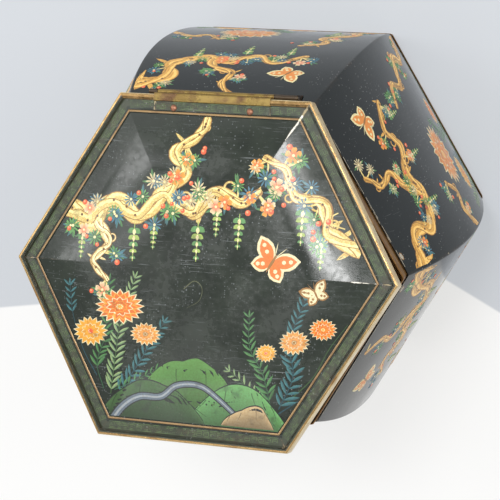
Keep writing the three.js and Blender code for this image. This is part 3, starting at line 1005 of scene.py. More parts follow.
@dataclass
class Neck(Part):
    """The amber collar that the lid closes over, its top edge folded in."""

    rise: float = 6.0
    drop: float = 9.0
    hem: float = 4.0

    def build(self) -> None:
        """Builds and fits the collar."""
        outer = TIN.wall_apothem(TIN.wall_top, TIN.sheet) - TIN.gap
        top, bottom = TIN.wall_top + self.rise, TIN.wall_top - self.drop
        t = TIN.sheet
        section = [(outer, bottom, 0.0), (outer, TIN.wall_top, 0.2), (outer, top - 2.0, 0.3)]
        section += arc((outer - t, top - t), t, 0, 180, 8, 0.8)
        section += [(outer - 2 * t, top - self.hem, 0.3), (outer - t, top - self.hem, 0.3)]
        section += [(outer - t, bottom, 0.0), (outer, bottom, 0.0)]
        draft = Draft()
        hex_sweep(draft, section, 2.0, outer)
        collar = self.paint.dress(draft.build("neck_collar_skin"), Look.AMBER)
        fit(collar, Body.BOX, Slot.AMBER, "neck_collar")


@dataclass
class Base(Part):
    """The recessed base, its edge folded round the foot of the walls."""

    seam: float = 3.4
    recess: float = 2.6
    swage: float = 52.0

    def build(self) -> None:
        """Builds and fits the base."""
        t = TIN.sheet
        foot = TIN.wall_apothem(TIN.wall_bottom)
        lean = TIN.wall_apothem(self.seam) - foot
        out = foot + TIN.gap + t
        inside = TIN.wall_apothem(TIN.wall_bottom, TIN.sheet) - TIN.gap - t
        ridge = ((-2, 0.0), (-1, 0.25), (0, 0.5), (1, 0.25), (2, 0.0))
        plate = [(0.0, 0.0), (25.0, 0.0), *((self.swage + a, z) for a, z in ridge), (inside - 3.0, 0.0)]
        section = [(a, self.recess + z, 0.0) for a, z in plate]
        section += arc((inside - 0.5, self.recess - 0.5), 0.5, 90, 0, 3, 0.3)
        section += [(inside, 0.3, 0.7), (inside + 0.3, 0.0, 0.9), (out - t, 0.0, 0.9)]
        section += arc((out - t, t), t, -90, 0, 4, 0.9)
        section += [(out + lean, self.seam, 0.8), (out + lean - t, self.seam, 0.8)]
        section += [(out - t, t, 0.2), (inside + t, t, 0.2)]
        section += [(inside + t, self.recess, 0.1), (inside + 0.1, self.recess + t, 0.1)]
        section += [(a, self.recess + z + t, 0.0) for a, z in plate[::-1]]
        draft = Draft()
        hex_sweep(draft, section, 1.6, out)
        base = self.paint.dress(draft.build("base_plate_skin"), Look.AMBER)
        fit(base, Body.BOX, Slot.AMBER, "base_plate")


@dataclass
class Lid(Part):
    """The lid: gilt rim, green border band, gold bead and hipped black dome."""

    bead_at: float = 73.6
    bead_width: float = 1.5
    bead_height: float = 0.6
    rise: float = 4.6
    slope: float = 27.0
    crown: float = 1.6
    round_from: float = 62.0
    lip: float = 0.9
    hem_radius: float = 0.8
    lip_radius: float = 0.3
    curl: float = 0.35
    steps: int = 144
    back_gilt: float = 2.9
    # The hips carry white lines that are partly wear and partly a painted highlight: their width, where
    # they start, and their strength on each hip.
    hip_width: float = 1.2
    hips_from: float = 54.0
    hip_wear_and_highlight: tuple[float, ...] = (1.1, 1.15, 0.45, 1.0, 0.7, 0.85)
    leaf_end: float = 74.7
    rivet_spacing: float = 38.0
    rivet_at: float = 76.0

    @property
    def band_z(self) -> float:
        """Height of the border band."""
        return TIN.lid_top - self.lip - TIN.gap

    @property
    def hem_inner(self) -> float:
        """Apothem of the hem's inner edge."""
        return TIN.lid - TIN.hem

    def rings(self) -> list[tuple[float, float, int, float]]:
        """Rings of the panel from its edge inwards.

        Returns:
            Apothem, height, material number and wear of each ring.
        """
        half, top = self.bead_width / 2, self.band_z
        found = [(TIN.lid - 0.7, top, 0, 0.4), (self.hem_inner, top, 0, 0.55)]
        found += [(self.hem_inner - w, top, 0, e) for w, e in ((0.6, 0.3), (2.0, 0.0), (3.9, 0.0))]
        found.append((self.bead_at + half + 0.15, top, 2, 0.1))
        for turn in np.linspace(0, math.pi, 13):
            a = self.bead_at + half * math.cos(turn)
            z = top + self.bead_height * math.sin(turn)
            found.append((a, z, *((1, 0.5) if 1.0 < turn < 2.2 else (2, 0.1))))
        foot = self.bead_at - half
        found[-1] = (foot, top, 2, 0.3)
        for t in np.linspace(0, 1, 25)[1:]:
            z = top + self.rise * math.sin(math.pi / 2 * t)
            found.append((foot - self.slope * t, z, 2, max(0.0, 0.3 - 2 * t)))
        inner = foot - self.slope
        for t in np.linspace(0, 1, 13)[1:-1]:
            found.append((inner * (1 - t), top + self.rise + self.crown * (1 - (1 - t) ** 2), 2, 0.0))
        return found

    def ring(self, apothem: float, z: float) -> np.ndarray:
        """One ring of the panel, drawn towards a circle near the middle.

        Args:
            apothem: The ring's apothem.
            z: Its height.

        Returns:
            N by 4: the place and the closeness to a hip.
        """
        share = math.sqrt(max(0.0, self.round_from - apothem) / self.round_from)
        per_side = self.steps // SIDES
        spread = np.sin(np.linspace(-1, 1, per_side + 1)[:-1] * math.pi / 2)
        off = np.append(np.tile(spread * SECTOR / 2, SIDES), -SECTOR / 2)
        middles = np.append(np.repeat(np.arange(SIDES) + 0.5, per_side), SIDES + 0.5) * SECTOR
        angles = middles + off
        straight = apothem / np.cos(off)
        radius = straight * (1 - share) + apothem * (1 + 1 / COS30) / 2 * share
        # Closeness to a hip feeds the edge wear and paints a white line there, partly worn lacquer and
        # partly painted highlight.
        hip = np.clip(1 - (SECTOR / 2 - np.abs(off)) * apothem / self.hip_width, 0, 1)
        hip *= np.array(self.hip_wear_and_highlight)[np.rint(angles / SECTOR).astype(int) % SIDES]
        fade = max(0.0, min(1.0, (apothem - self.hips_from) / 10))
        x, y = radius * np.cos(angles), radius * np.sin(angles)
        return np.column_stack([x, y, np.full(len(angles), z), hip * fade])

    def panel(self) -> Piece:
        """Builds the pressed panel in the closed lid's place.

        Returns:
            The panel.
        """
        rings = self.rings()
        rows = np.stack([self.ring(a, z) for a, z, _, _ in rings])
        wear = np.array([w for *_, w in rings])[:, None]
        # hips holds the wear of the ring edges and the hip lines, the hip lines partly painted highlight.
        places, hips = rows[:, :, :3], np.maximum(rows[:, :, 3] * 1.15, wear)
        under = places - np.array([0, 0, TIN.sheet])
        flat = places[:, :, :2]
        draft = Draft()
        for k in range(len(rings) - 1):
            pair = slice(k, k + 2)
            draft.grid(places[pair], flat[pair], hips[pair], slot=rings[k + 1][2])
            draft.grid(under[pair], flat[pair], slot=3)
        draft.grid(np.stack([places[0], under[0]]), edge=0.3)
        crown = np.array([[0.0, 0.0, self.band_z + self.rise + self.crown]])
        fan = [(i, i + 1, self.steps + 1) for i in range(self.steps)]
        for row, drop, slot in ((places[-1], 0.0, 2), (under[-1], TIN.sheet, 3)):
            draft.add(np.vstack([row, crown - [0, 0, drop]]), fan, slot=slot)
        panel = draft.build("lid_panel_skin", 50.0)
        return self.paint.dress(panel, Look.BORDER, Look.GOLD_LINE, Look.LID_LACQUER, Look.AMBER)

    def rim(self) -> Piece:
        """Builds the gilt rim: skirt, rolled hem and short lip, the skirt's outer face paled as a painted
        highlight.

        Returns:
            The rim.
        """
        t, top, out = TIN.sheet, TIN.lid_top, TIN.lid
        foot = top - TIN.skirt
        r, lip = self.hem_radius, self.lip_radius
        section = [(out - t - self.curl, foot + 0.1, 0.5), (out - 0.15, foot, 0.8)]
        section += [(out, foot + up, wear) for up, wear in ((0.15, 0.9), (1.0, 0.45), (3.0, 0.15))]
        section += [(out, top - 2.2, 0.2), *arc((out - r, top - r), r, 0, 90, 6, 0.7)]
        gilt_steps = len(section)
        section += [(out - a, top, w) for a, w in ((1.25, 0.4), (1.35, 0.3), (self.back_gilt, 0.3))]
        section.append((self.hem_inner + 0.8, top, 0.2))
        section += arc((self.hem_inner + lip, top - lip), lip, 90, 180, 4, 0.75)
        section += [(self.hem_inner, top - self.lip, 0.5), (self.hem_inner + t, top - self.lip, 0.2)]
        section += [(self.hem_inner + t, top - t, 0.0), (out - r, top - t, 0.0)]
        section += arc((out - r, top - r), r - t, 90, 0, 4, 0.0)
        section += [(out - t, foot + 2 * t, 0.0), (out - t - self.curl, foot + 2 * t, 0.2)]
        section.append(section[0])
        # The steps in face are the skirt's outer face, which takes the paled gilding as a painted
        # highlight.
        printed, face = range(gilt_steps, gilt_steps + 8), range(2, gilt_steps - 3)
        draft = Draft()
        hex_sweep(draft, section, 1.0, out, lambda k: 1 if k in printed else 2 if k in face else 0)
        rim = draft.build("lid_rim_skin")
        for polygon in rim.data.polygons:
            if polygon.material_index == 1 and polygon.center.y > (out - self.back_gilt) * MM:
                polygon.material_index = 0
        return self.paint.dress(rim, Look.GOLD, Look.BORDER, Look.HIGHLIGHT_PALED_GILT)

    def stand(self, piece: Piece, slot: Slot, *nodes: str) -> None:
        """Takes a piece of the closed lid to where the lid stands and fits it."""
        piece.data.transform(TIN.lid_turn())
        fit(piece, Body.LID, slot, *nodes)


@dataclass
class Hinge(Part):
    """The knuckle hinge: a leaf riveted on the lid, a leaf on the back wall and a wire pin."""

    lid: Lid
    bore: float = 0.8
    lid_x: float = -1.0
    lid_length: float = 58.0
    body_x: float = 2.5
    body_length: float = 74.0
    body_drop: float = 6.5
    border_step: int = 11
    proud: float = 0.4
    head: float = 1.6
    head_height: float = 0.7

    def ends(self, middle: float, length: float) -> tuple[float, float]:
        """Where a length about a middle starts and ends."""
        return middle - length / 2, middle + length / 2

    @property
    def upright(self) -> float:
        """Y of the leaves' middle line beside the pin."""
        return TIN.hinge.y - self.bore - TIN.sheet / 2

    def strip(
        self, draft: Draft, line: Line, x0: float, x1: float, bend: float = 0.5, slot_from: int = 99
    ) -> None:
        """Adds a bent strip of sheet with its faces across the hinge.

        Args:
            draft: The mesh that grows.
            line: Corners of its middle line, outwards and up.
            x0: Where it starts along the hinge.
            x1: Where it ends.
            bend: Radius of the bends.
            slot_from: Steps of the section from here on take the second material.
        """
        one, other = bent_section(line, TIN.sheet, bend)
        section = np.vstack([one, other[::-1], one[:1]])
        columns = np.array([x0, x0 + 0.4, *np.linspace(x0 + 2, x1 - 2, 16), x1 - 0.4, x1])
        close = np.clip(1 - np.minimum(columns - x0, x1 - columns) / 3, 0, 1)
        same = np.ones(len(columns))
        places = np.stack([np.column_stack([columns, y * same, z * same]) for y, z in section])
        flat = np.stack([np.column_stack([columns, v * same]) for v in run_along(section)])
        wear = np.maximum(close[None, :], np.full((len(section), 1), 0.35))
        half = len(one)
        for k in range(len(section) - 1):
            step = min(k, 2 * half - 1 - k) if k < 2 * half - 1 else 0
            pair = slice(k, k + 2)
            draft.grid(places[pair], flat[pair], wear[pair], slot=int(step >= slot_from))
        for x in (x0, x1):
            cap = np.stack([np.column_stack([np.full(half, x), side]) for side in (one, other)])
            draft.grid(cap, edge=0.7)

    def knuckle(self, draft: Draft, x0: float, x1: float) -> None:
        """Adds a rolled tube round the pin, its seam left a hair open.

        Args:
            draft: The mesh that grows.
            x0: Where it starts.
            x1: Where it ends.
        """
        axis = TIN.hinge
        angles = np.radians(np.linspace(-168, 172, 29))
        columns = np.array([x0, x0 + 0.15, x0 + 0.5, (x0 + x1) / 2, x1 - 0.5, x1 - 0.15, x1])
        shrink = np.array([0.12, 0.03, 0, 0, 0, 0.03, 0.12])
        faces = []
        for radius, sign in ((self.bore + TIN.sheet, 1), (self.bore, -0.2)):
            r = radius - sign * shrink[None, :]
            y = axis.y + r * np.cos(angles)[:, None]
            z = axis.z + r * np.sin(angles)[:, None]
            faces.append(np.dstack([np.broadcast_to(columns, y.shape), y, z]))
        flat = np.dstack([faces[0][:, :, 0], np.broadcast_to(angles[:, None], y.shape)])
        wear = np.broadcast_to([0.9, 0.7, 0.4, 0.4, 0.4, 0.7, 0.9], y.shape)
        draft.shell(*faces, flat, wear, inside_slot=0)

    def lid_leaf(self) -> Piece:
        """The lid's leaf, from its knuckle over the hem and down onto the band.

        Returns:
            The leaf in the closed lid's place.
        """
        x0, x1 = self.ends(self.lid_x, self.lid_length)
        lift = TIN.gap * 0.4 + TIN.sheet / 2
        over, band = TIN.lid_top + lift, self.lid.band_z + lift
        step = self.lid.hem_inner - TIN.gap - TIN.sheet / 2
        line = [(self.upright, TIN.hinge.z), (self.upright, over), (step, over), (step, band)]
        draft = Draft()
        self.strip(draft, [*line, (self.lid.leaf_end, band)], x0, x1, slot_from=self.border_step)
        self.knuckle(draft, x0, x1)
        return self.paint.dress(draft.build("lid_hinge_leaf_skin"), Look.HINGE, Look.BORDER)

    def body_leaf(self) -> Piece:
        """The body's leaf: a plate on the back wall, bent out to a knuckle at each end.

        Returns:
            The leaf.
        """
        x0, x1 = self.ends(self.body_x, self.body_length)
        gap0, gap1 = self.ends(self.lid_x, self.lid_length + 2 * TIN.gap)
        up, top = self.upright, TIN.wall_top - TIN.gap
        foot = top - self.body_drop
        off = (TIN.gap * 0.5 + TIN.sheet / 2) * 1.07
        wall_y, foot_y = TIN.wall_apothem(top) + off, TIN.wall_apothem(foot) + off
        shoulder = min(top + (up - wall_y) / 2, TIN.lid_top - TIN.skirt - TIN.gap - TIN.sheet / 2)
        on_wall = [(up, shoulder), (wall_y, top), (foot_y, foot)]
        draft = Draft()
        self.strip(draft, on_wall, x0, x1, bend=0.3)
        for a, b in ((x0, gap0), (gap1, x1)):
            self.strip(draft, [(up, TIN.hinge.z), *on_wall], a, b, bend=0.4)
            self.knuckle(draft, a, b)
        return self.paint.dress(draft.build("body_hinge_leaf_skin"), Look.LEAF)

    def pin(self) -> Piece:
        """The wire pin with rounded ends.

        Returns:
            The pin.
        """
        x0, x1 = self.ends(self.body_x, self.body_length + 2 * self.proud)
        ends = [(a, s * TIN.pin_radius) for a, s in ((0.0, 0.0), (0.08, 0.5), (0.2, 0.85), (0.4, 1.0))]
        outline = [(x0 + a, r) for a, r in ends] + [(x1 - a, r) for a, r in ends[::-1]]
        return self.paint.dress(turned("hinge_pin_skin", outline, TIN.hinge, "X"), Look.WIRE)

    def rivets(self) -> Piece:
        """The two rivets through the lid's leaf, placed by a node tree.

        Returns:
            Both rivets as one piece in the closed lid's place.
        """
        band, wide = self.lid.band_z, self.head
        head, tail = band + TIN.gap * 0.4 + TIN.sheet + 0.02, band - TIN.sheet - 0.02
        edge, dome = head + 0.12, self.head_height - 0.12
        outline = [(tail - 0.5, 0.0), (tail - 0.5, 1.0), (tail - 0.35, 1.2), (tail, 1.2), (tail, 0.6)]
        outline += [(head, 0.6), (head, wide), (edge, wide)]
        for turn in np.linspace(0.15, math.pi / 2, 6):
            outline.append((edge + dome * math.sin(turn), wide * math.cos(turn)))
        rivet = turned("rivet_pattern", outline, Vector((0, 0, 0)), "Z")
        copper = self.paint.get(Look.COPPER)
        row = RowTree().run(rivet, "lid_rivets", 2, self.lid.rivet_spacing, copper)
        row.data.transform(Matrix.Translation(Vector((self.lid_x, self.lid.rivet_at, 0)) * MM))
        return row


def turned(name: str, outline: Line, centre: Vector, axis: str) -> Piece:
    """A turned piece.

    Args:
        name: Its name.
        outline: Place along the axis and radius of each point.
        centre: Where the axis passes, in millimetres.
        axis: The axis, X or Z.

    Returns:
        The piece.
    """
    steps = 28
    angles = np.linspace(0, 2 * math.pi, steps + 1)
    rows = []
    for along, radius in outline:
        one, two = radius * np.cos(angles), radius * np.sin(angles)
        flat = np.full(len(angles), along)
        columns = [flat, one, two] if axis == "X" else [one, two, flat]
        rows.append(np.column_stack(columns))
    places = np.stack(rows)
    if axis == "X":
        places += np.array([0, centre.y, centre.z])
    draft = Draft()
    draft.grid(places, edge=0.35)
    return draft.build(name)


class PatternTree:
    """A Geometry Nodes tree with named inputs, whose result becomes a plain mesh."""

    label = "Pattern"
    inputs: dict[str, str] = {}

    def __init__(self) -> None:
        """Builds the tree."""
        self.tree = bpy.data.node_groups.new(self.label, "GeometryNodeTree")
        face = self.tree.interface
        face.new_socket("Geometry", in_out="INPUT", socket_type="NodeSocketGeometry")
        self.sockets = {
            name: face.new_socket(name, in_out="INPUT", socket_type=f"NodeSocket{kind}")
            for name, kind in {**self.inputs, "Material": "Material"}.items()
        }
        face.new_socket("Geometry", in_out="OUTPUT", socket_type="NodeSocketGeometry")
        self.nodes = Nodes(self.tree)
        self.given = self.nodes.add("NodeGroupInput").outputs
        realize = self.nodes.add("GeometryNodeRealizeInstances", {0: self.wire()})
        feeds = {"Geometry": self.lay(realize.outputs[0]), "Material": self.given["Material"]}
        paint = self.nodes.add("GeometryNodeSetMaterial", feeds)
        self.nodes.add("NodeGroupOutput", {0: paint.outputs[0]})

    def wire(self) -> Socket:
        """Wires what makes the shapes. Each kind of tree has its own."""
        return self.given["Geometry"]

    def lay(self, shapes: Socket) -> Socket:
        """Wires what lays the flat shapes on their surface. The plain tree leaves them flat."""
        return shapes

    def copies(self, points: Socket, pattern: Socket, **fields: object) -> Socket:
        """Places a pattern on points, with fields for the node's other inputs."""
        feeds = {name.replace("_", " "): value for name, value in fields.items()}
        feeds = {"Points": points, "Instance": pattern, **feeds}
        return self.nodes.add("GeometryNodeInstanceOnPoints", feeds).outputs[0]

    def shape_of(self, name: str) -> Socket:
        """The mesh of an object input."""
        info = self.nodes.add("GeometryNodeObjectInfo", {"Object": self.given[name]})
        return info.outputs["Geometry"]

    def attribute(self, name: str, kind: str) -> Socket:
        """A named attribute of the points."""
        node = self.nodes.add("GeometryNodeInputNamedAttribute", {}, data_type=kind)
        node.inputs["Name"].default_value = name
        return node.outputs["Attribute"]

    def place(self) -> Sequence[Socket]:
        """Across, outwards and height of each point."""
        position = self.nodes.add("GeometryNodeInputPosition").outputs[0]
        return self.nodes.add("ShaderNodeSeparateXYZ", {0: position}).outputs

    def make(self, name: str, start: bpy.types.Mesh, values: dict[str, object]) -> Piece:
        """Runs the tree and keeps its result as a plain mesh.

        Args:
            name: The new object's name.
            start: The mesh that the tree starts from.
            values: Its inputs by name.

        Returns:
            The object, without its modifier.
        """
        holder = linked(bpy.data.objects.new(name, start))
        modifier = holder.modifiers.new("Pattern", "NODES")
        modifier.node_group = self.tree
        for label, value in values.items():
            modifier[self.sockets[label].identifier] = value
        bpy.context.view_layer.update()
        graph = bpy.context.evaluated_depsgraph_get()
        seen = holder.evaluated_get(graph)
        made = bpy.data.meshes.new_from_object(seen, preserve_all_data_layers=True, depsgraph=graph)
        holder.modifiers.remove(modifier)
        holder.data = made
        return holder


class RowTree(PatternTree):
    """A pattern repeated in a row along X, centred."""

    label = "Row"
    inputs = {"Pattern": "Object", "Count": "Int", "Pitch": "Float"}

    def row(self) -> Socket:
        """Wires the points of the row.

        Returns:
            The points.
        """
        nodes, count, pitch = self.nodes, self.given["Count"], self.given["Pitch"]
        start = nodes.times(nodes.times(nodes.minus(count, 1.0), pitch), -0.5)
        feeds = {"Count": count, "Start Location": nodes.vector(start, 0.0, 0.0)}
        feeds["Offset"] = nodes.vector(pitch, 0.0, 0.0)
        return nodes.add("GeometryNodeMeshLine", feeds).outputs[0]

    def wire(self) -> Socket:
        """Wires the copies of the pattern on the row."""
        return self.copies(self.row(), self.shape_of("Pattern"))

    def run(self, pattern: Piece, name: str, count: int, pitch: float, look: bpy.types.Material) -> Piece:
        """Makes the row and removes the loose pattern.

        Args:
            pattern: The shape to repeat.
            name: The new object's name.
            count: How many.
            pitch: Millimetres from one to the next.
            look: Its material.

        Returns:
            The row as one mesh.
        """
        values = {"Pattern": pattern, "Count": count, "Pitch": pitch * MM, "Material": look}
        made = self.make(name, bpy.data.meshes.new(name), values)
        bpy.data.objects.remove(pattern)
        return made


class LaidTree(PatternTree):
    """Flat shapes dropped on another piece from above, each lifted by its own height."""

    label = "Laid"

    def lay(self, shapes: Socket) -> Socket:
        """Wires the drop on the surface.

        Args:
            shapes: The flat shapes.

        Returns:
            The shapes on the surface.
        """
        nodes, (x, y, height) = self.nodes, self.place()
        cast = nodes.add("GeometryNodeRaycast", {
            "Target Geometry": self.shape_of("Surface"),
            "Source Position": nodes.vector(x, y, 1.0),
            "Ray Direction": (0.0, 0.0, -1.0),
            "Ray Length": 3.0,
        }).outputs
        feeds = {0: cast["Hit Normal"], 1: nodes.vector(height, height, height)}
        feeds[2] = cast["Hit Position"]
        lift = nodes.add("ShaderNodeVectorMath", feeds, operation="MULTIPLY_ADD").outputs[0]
        feeds = {"Geometry": shapes, "Selection": cast["Is Hit"], "Position": lift}
        return nodes.add("GeometryNodeSetPosition", feeds).outputs[0]


class KeyBandTree(LaidTree, RowTree):
    """A key pattern along the six sides of the lid's border."""

    label = "Key band"
    inputs = {**RowTree.inputs, "Apothem": "Float", "Surface": "Object"}

    def wire(self) -> Socket:
        """Wires one side's row and its six turned copies.

        Returns:
            The key band.
        """
        nodes = self.nodes
        feeds = {"Geometry": self.copies(self.row(), self.shape_of("Pattern"))}
        feeds["Translation"] = nodes.vector(0.0, self.given["Apothem"], 0.0)
        side = nodes.add("GeometryNodeTransform", feeds).outputs[0]
        feeds = {"Count": SIDES, "Offset": (0.0, 0.0, 0.0)}
        sides = nodes.add("GeometryNodeMeshLine", feeds).outputs[0]
        turn = nodes.times(nodes.add("GeometryNodeInputIndex").outputs[0], SECTOR)
        return self.copies(sides, side, Rotation=nodes.vector(0.0, 0.0, turn))


class PrintTree(LaidTree):
    """Small printed motifs on points, joined by the large plates, laid on the lid."""

    label = "Lid print"
    inputs = {"Motifs": "Collection", "Plates": "Object", "Surface": "Object"}

    def wire(self) -> Socket:
        """Wires the motifs on their points and joins the plates.

        Returns:
            The picture.
        """
        nodes, size = self.nodes, self.attribute("size", "FLOAT")
        feeds = {"Collection": self.given["Motifs"], "Separate Children": True}
        feeds["Reset Children"] = True
        placed = self.copies(
            self.given["Geometry"],
            nodes.add("GeometryNodeCollectionInfo", feeds).outputs[0],
            Pick_Instance=True,
            Instance_Index=self.attribute("kind", "INT"),
            Rotation=nodes.vector(0.0, 0.0, self.attribute("turn", "FLOAT")),
            Scale=nodes.vector(size, size, 1.0),
        )
        join = nodes.add("GeometryNodeJoinGeometry", {0: placed})
        nodes.feed(join.inputs[0], self.shape_of("Plates"))
        return join.outputs[0]


class WallPrintTree(PrintTree):
    """The same print, bent on the arc of a wall and turned to its side."""

    label = "Wall print"
    inputs = {
        "Motifs": "Collection", "Plates": "Object", "Radius": "Float", "Centre": "Float",
        "Belly height": "Float", "Turn": "Float",
    }

    def lay(self, shapes: Socket) -> Socket:
        """Wires the bend.

        Args:
            shapes: The flat shapes.

        Returns:
            The shapes on the wall.
        """
        nodes, given, (x, y, height) = self.nodes, self.given, self.place()
        angle = nodes.math("DIVIDE", y, given["Radius"])
        radius = nodes.plus(given["Radius"], height)
        out = nodes.plus(nodes.times(radius, nodes.math("COSINE", angle)), given["Centre"])
        up = nodes.plus(nodes.times(radius, nodes.math("SINE", angle)), given["Belly height"])
        feeds = {"Geometry": shapes, "Position": nodes.vector(x, out, up)}
        bent = nodes.add("GeometryNodeSetPosition", feeds).outputs[0]
        feeds = {"Geometry": bent, "Rotation": nodes.vector(0.0, 0.0, given["Turn"])}
        return nodes.add("GeometryNodeTransform", feeds).outputs[0]


class Ink:
    """The colours of the print."""

    GOLD = srgb(226, 208, 134)
    PALE_GOLD = srgb(234, 224, 172)
    OLD_GOLD = srgb(150, 108, 52)
    CREAM = srgb(228, 220, 180)
    CORAL = srgb(226, 98, 58)
    ORANGE = srgb(232, 120, 46)
    AMBER = srgb(236, 168, 62)
    GREEN = srgb(92, 146, 86)
    LEAF_GREEN = srgb(112, 176, 92)
    BLUE = srgb(84, 140, 168)
    WALL_GOLD = srgb(226, 178, 84)
    DEEP_GREEN = srgb(44, 88, 58)
    LIME = srgb(156, 182, 92)
    DEEP_TEAL = srgb(34, 72, 84)
    MEADOW = srgb(80, 126, 62)
    MOSS = srgb(58, 90, 50)
    SLATE = srgb(96, 110, 124)
    WATER = srgb(150, 160, 168)
    STONE = srgb(178, 156, 116)
    KEY = srgb(82, 106, 62)
    DARK = srgb(26, 32, 28)
    BARE_TIN = srgb(168, 162, 146)


def disc(radius: float, count: int = 9, x: float = 0.0, y: float = 0.0) -> np.ndarray:
    """The outline of a small round shape."""
    angles = np.arange(count) * 2 * math.pi / count
    return np.column_stack([x + radius * np.cos(angles), y + radius * np.sin(angles)])


def lens(length: float, width: float, lean: float = 0.0) -> np.ndarray:
    """The outline of a pointed leaf from the origin along +Y, its tip leaning to +X.

    Args:
        length: Its length.
        width: Its greatest width.
        lean: How far the tip leans.

    Returns:
        N by 2 places.
    """
    t = np.linspace(0, 1, 6)
    half = width / 2 * np.sin(math.pi * t) ** 0.8
    right, left = (np.column_stack([lean * t**2 + side * half, length * t]) for side in (1, -1))
    return np.vstack([right, left[::-1][1:-1]])


def blend(one: Colour, other: Colour, share: np.ndarray) -> np.ndarray:
    """Colours between two, one for each share, with their mean last for a plate's middle."""
    tones = np.array(one) + (np.array(other) - np.array(one)) * np.clip(share, 0, 1)[:, None]
    return np.vstack([tones, tones.mean(axis=0)])


def turned_flat(outline: np.ndarray, angle: float, x: float = 0.0, y: float = 0.0) -> np.ndarray:
    """Turns an outline about the origin and then shifts it."""
    cos, sin = math.cos(angle), math.sin(angle)
    return outline @ np.array([[cos, sin], [-sin, cos]]) + np.array([x, y])


class Motif(Enum):
    """The small printed motifs, in the order in which they are numbered."""

    BERRY = 0
    BLUE_ASTER = 1
    CREAM_ASTER = 2
    GREEN_ASTER = 3
    CREAM_BLOSSOM = 4
    GOLD_BLOSSOM = 5
    GREEN_LEAF = 6
    PALE_LEAF = 7
    TEAL_LEAF = 8
    RACEME = 9


SAGE, LEAFY, TEAL = (
    (Motif.PALE_LEAF, Ink.MOSS), (Motif.GREEN_LEAF, Ink.DEEP_GREEN), (Motif.TEAL_LEAF, Ink.DEEP_TEAL),
)


class MotifMaker:
    """Draws each small motif once, flat, about 10 mm across or long."""

    def flower(self, petals: int, profile: Line, inks: Sequence[Colour]) -> Draft:
        """A flower drawn as one plate with a heart on it.

        Args:
            petals: Number of petals.
            profile: Half a petal, from the notch to the tip, as share of its angle and radius.
            inks: Colours of the petals' foot, of their tips and of the heart.

        Returns:
            The flat plates.
        """
        foot, tip, heart = inks
        whole = np.array([*profile, *[(1 - share, radius) for share, radius in profile[-2:0:-1]]])
        turns = (np.arange(petals)[:, None] + whole[:, 0]).ravel() * 2 * math.pi / petals
        radii = np.tile(whole[:, 1], petals)
        tones = blend(foot, tip, (radii - radii.min()) / np.ptp(radii))
        tones[-1] = foot
        draft = Draft()
        draft.plate(np.column_stack([radii * np.cos(turns), radii * np.sin(turns)]), STEP, tones)
        draft.plate(disc(0.85, 6), 2 * STEP, heart)
        return draft

    def aster(self, foot: Colour, tip: Colour) -> Draft:
        """An aster of eleven narrow petals."""
        return self.flower(11, [(0.0, 0.95), (0.26, 3.4), (0.5, 4.7)], (foot, tip, Ink.PALE_GOLD))

    def blossom(self, foot: Colour, tip: Colour) -> Draft:
        """A blossom of five round petals."""
        half = [(0.0, 1.7), (0.12, 3.6), (0.3, 4.5), (0.5, 4.2)]
        return self.flower(5, half, (foot, tip, Ink.PALE_GOLD))

    def leaf(self, light: Colour, deep: Colour) -> Draft:
        """A pointed leaf with a light and a deep half.

        Args:
            light: Colour of the light half.
            deep: Colour of the deep half.

        Returns:
            The flat plates.
        """
        outline = lens(10.0, 2.2, 0.4)
        lean = outline[:, 0] - 0.005 * outline[:, 1] ** 2
        draft = Draft()
        draft.plate(outline, STEP, blend(light, deep, 0.5 + 0.45 * lean))
        return draft

    def berry(self) -> Draft:
        """A round berry with a lit side.

        Returns:
            The flat plates.
        """
        draft = Draft()
        draft.plate(disc(5.0, 10), STEP, Ink.CORAL)
        draft.plate(disc(2.2, 7, -1.2, 1.4), 1.6 * STEP, srgb(240, 168, 120))
        return draft

    def raceme(self) -> Draft:
        """A hanging raceme of paired florets that grow smaller downwards.

        Returns:
            The flat plates.
        """
        draft = Draft()
        stalk = np.array([[-0.12, -10.5], [0.12, -10.5], [0.12, 0.0], [-0.12, 0.0]])
        draft.plate(stalk, STEP, Ink.LIME)
        for i in range(5):
            size, y = 1.25 - 0.17 * i, -1.4 - 1.95 * i
            for side in (-1, 1):
                petal = turned_flat(lens(1.9 * size, 1.25 * size), side * 2.1, side * 0.1, y)
                draft.plate(petal, 1.5 * STEP, Ink.LIME if i % 2 else Ink.GREEN)
            petal = turned_flat(lens(1.5 * size, 0.8 * size), math.pi, 0, y)
            draft.plate(petal, 2 * STEP, Ink.PALE_GOLD)
        return draft

    def collection(self) -> bpy.types.Collection:
        """All motifs as objects in one collection, named in their order.

        Returns:
            The collection.
        """
        drawn = {
            Motif.BERRY: self.berry(),
            Motif.BLUE_ASTER: self.aster(Ink.DEEP_TEAL, Ink.BLUE),
            Motif.CREAM_ASTER: self.aster(Ink.STONE, Ink.CREAM),
            Motif.GREEN_ASTER: self.aster(Ink.DEEP_GREEN, Ink.LEAF_GREEN),
            Motif.CREAM_BLOSSOM: self.blossom(Ink.CORAL, Ink.CREAM),
            Motif.GOLD_BLOSSOM: self.blossom(Ink.CORAL, Ink.AMBER),
            Motif.GREEN_LEAF: self.leaf(Ink.GREEN, Ink.DEEP_GREEN),
            Motif.PALE_LEAF: self.leaf(srgb(158, 182, 128), srgb(78, 118, 88)),
            Motif.TEAL_LEAF: self.leaf(srgb(74, 128, 134), srgb(36, 78, 88)),
            Motif.RACEME: self.raceme(),
        }
        group = bpy.data.collections.new("motifs")
        bpy.context.scene.collection.children.link(group)
        for motif, draft in drawn.items():
            obj = draft.build(f"motif_{motif.value:02d}")
            bpy.context.scene.collection.objects.unlink(obj)
            group.objects.link(obj)
        return group


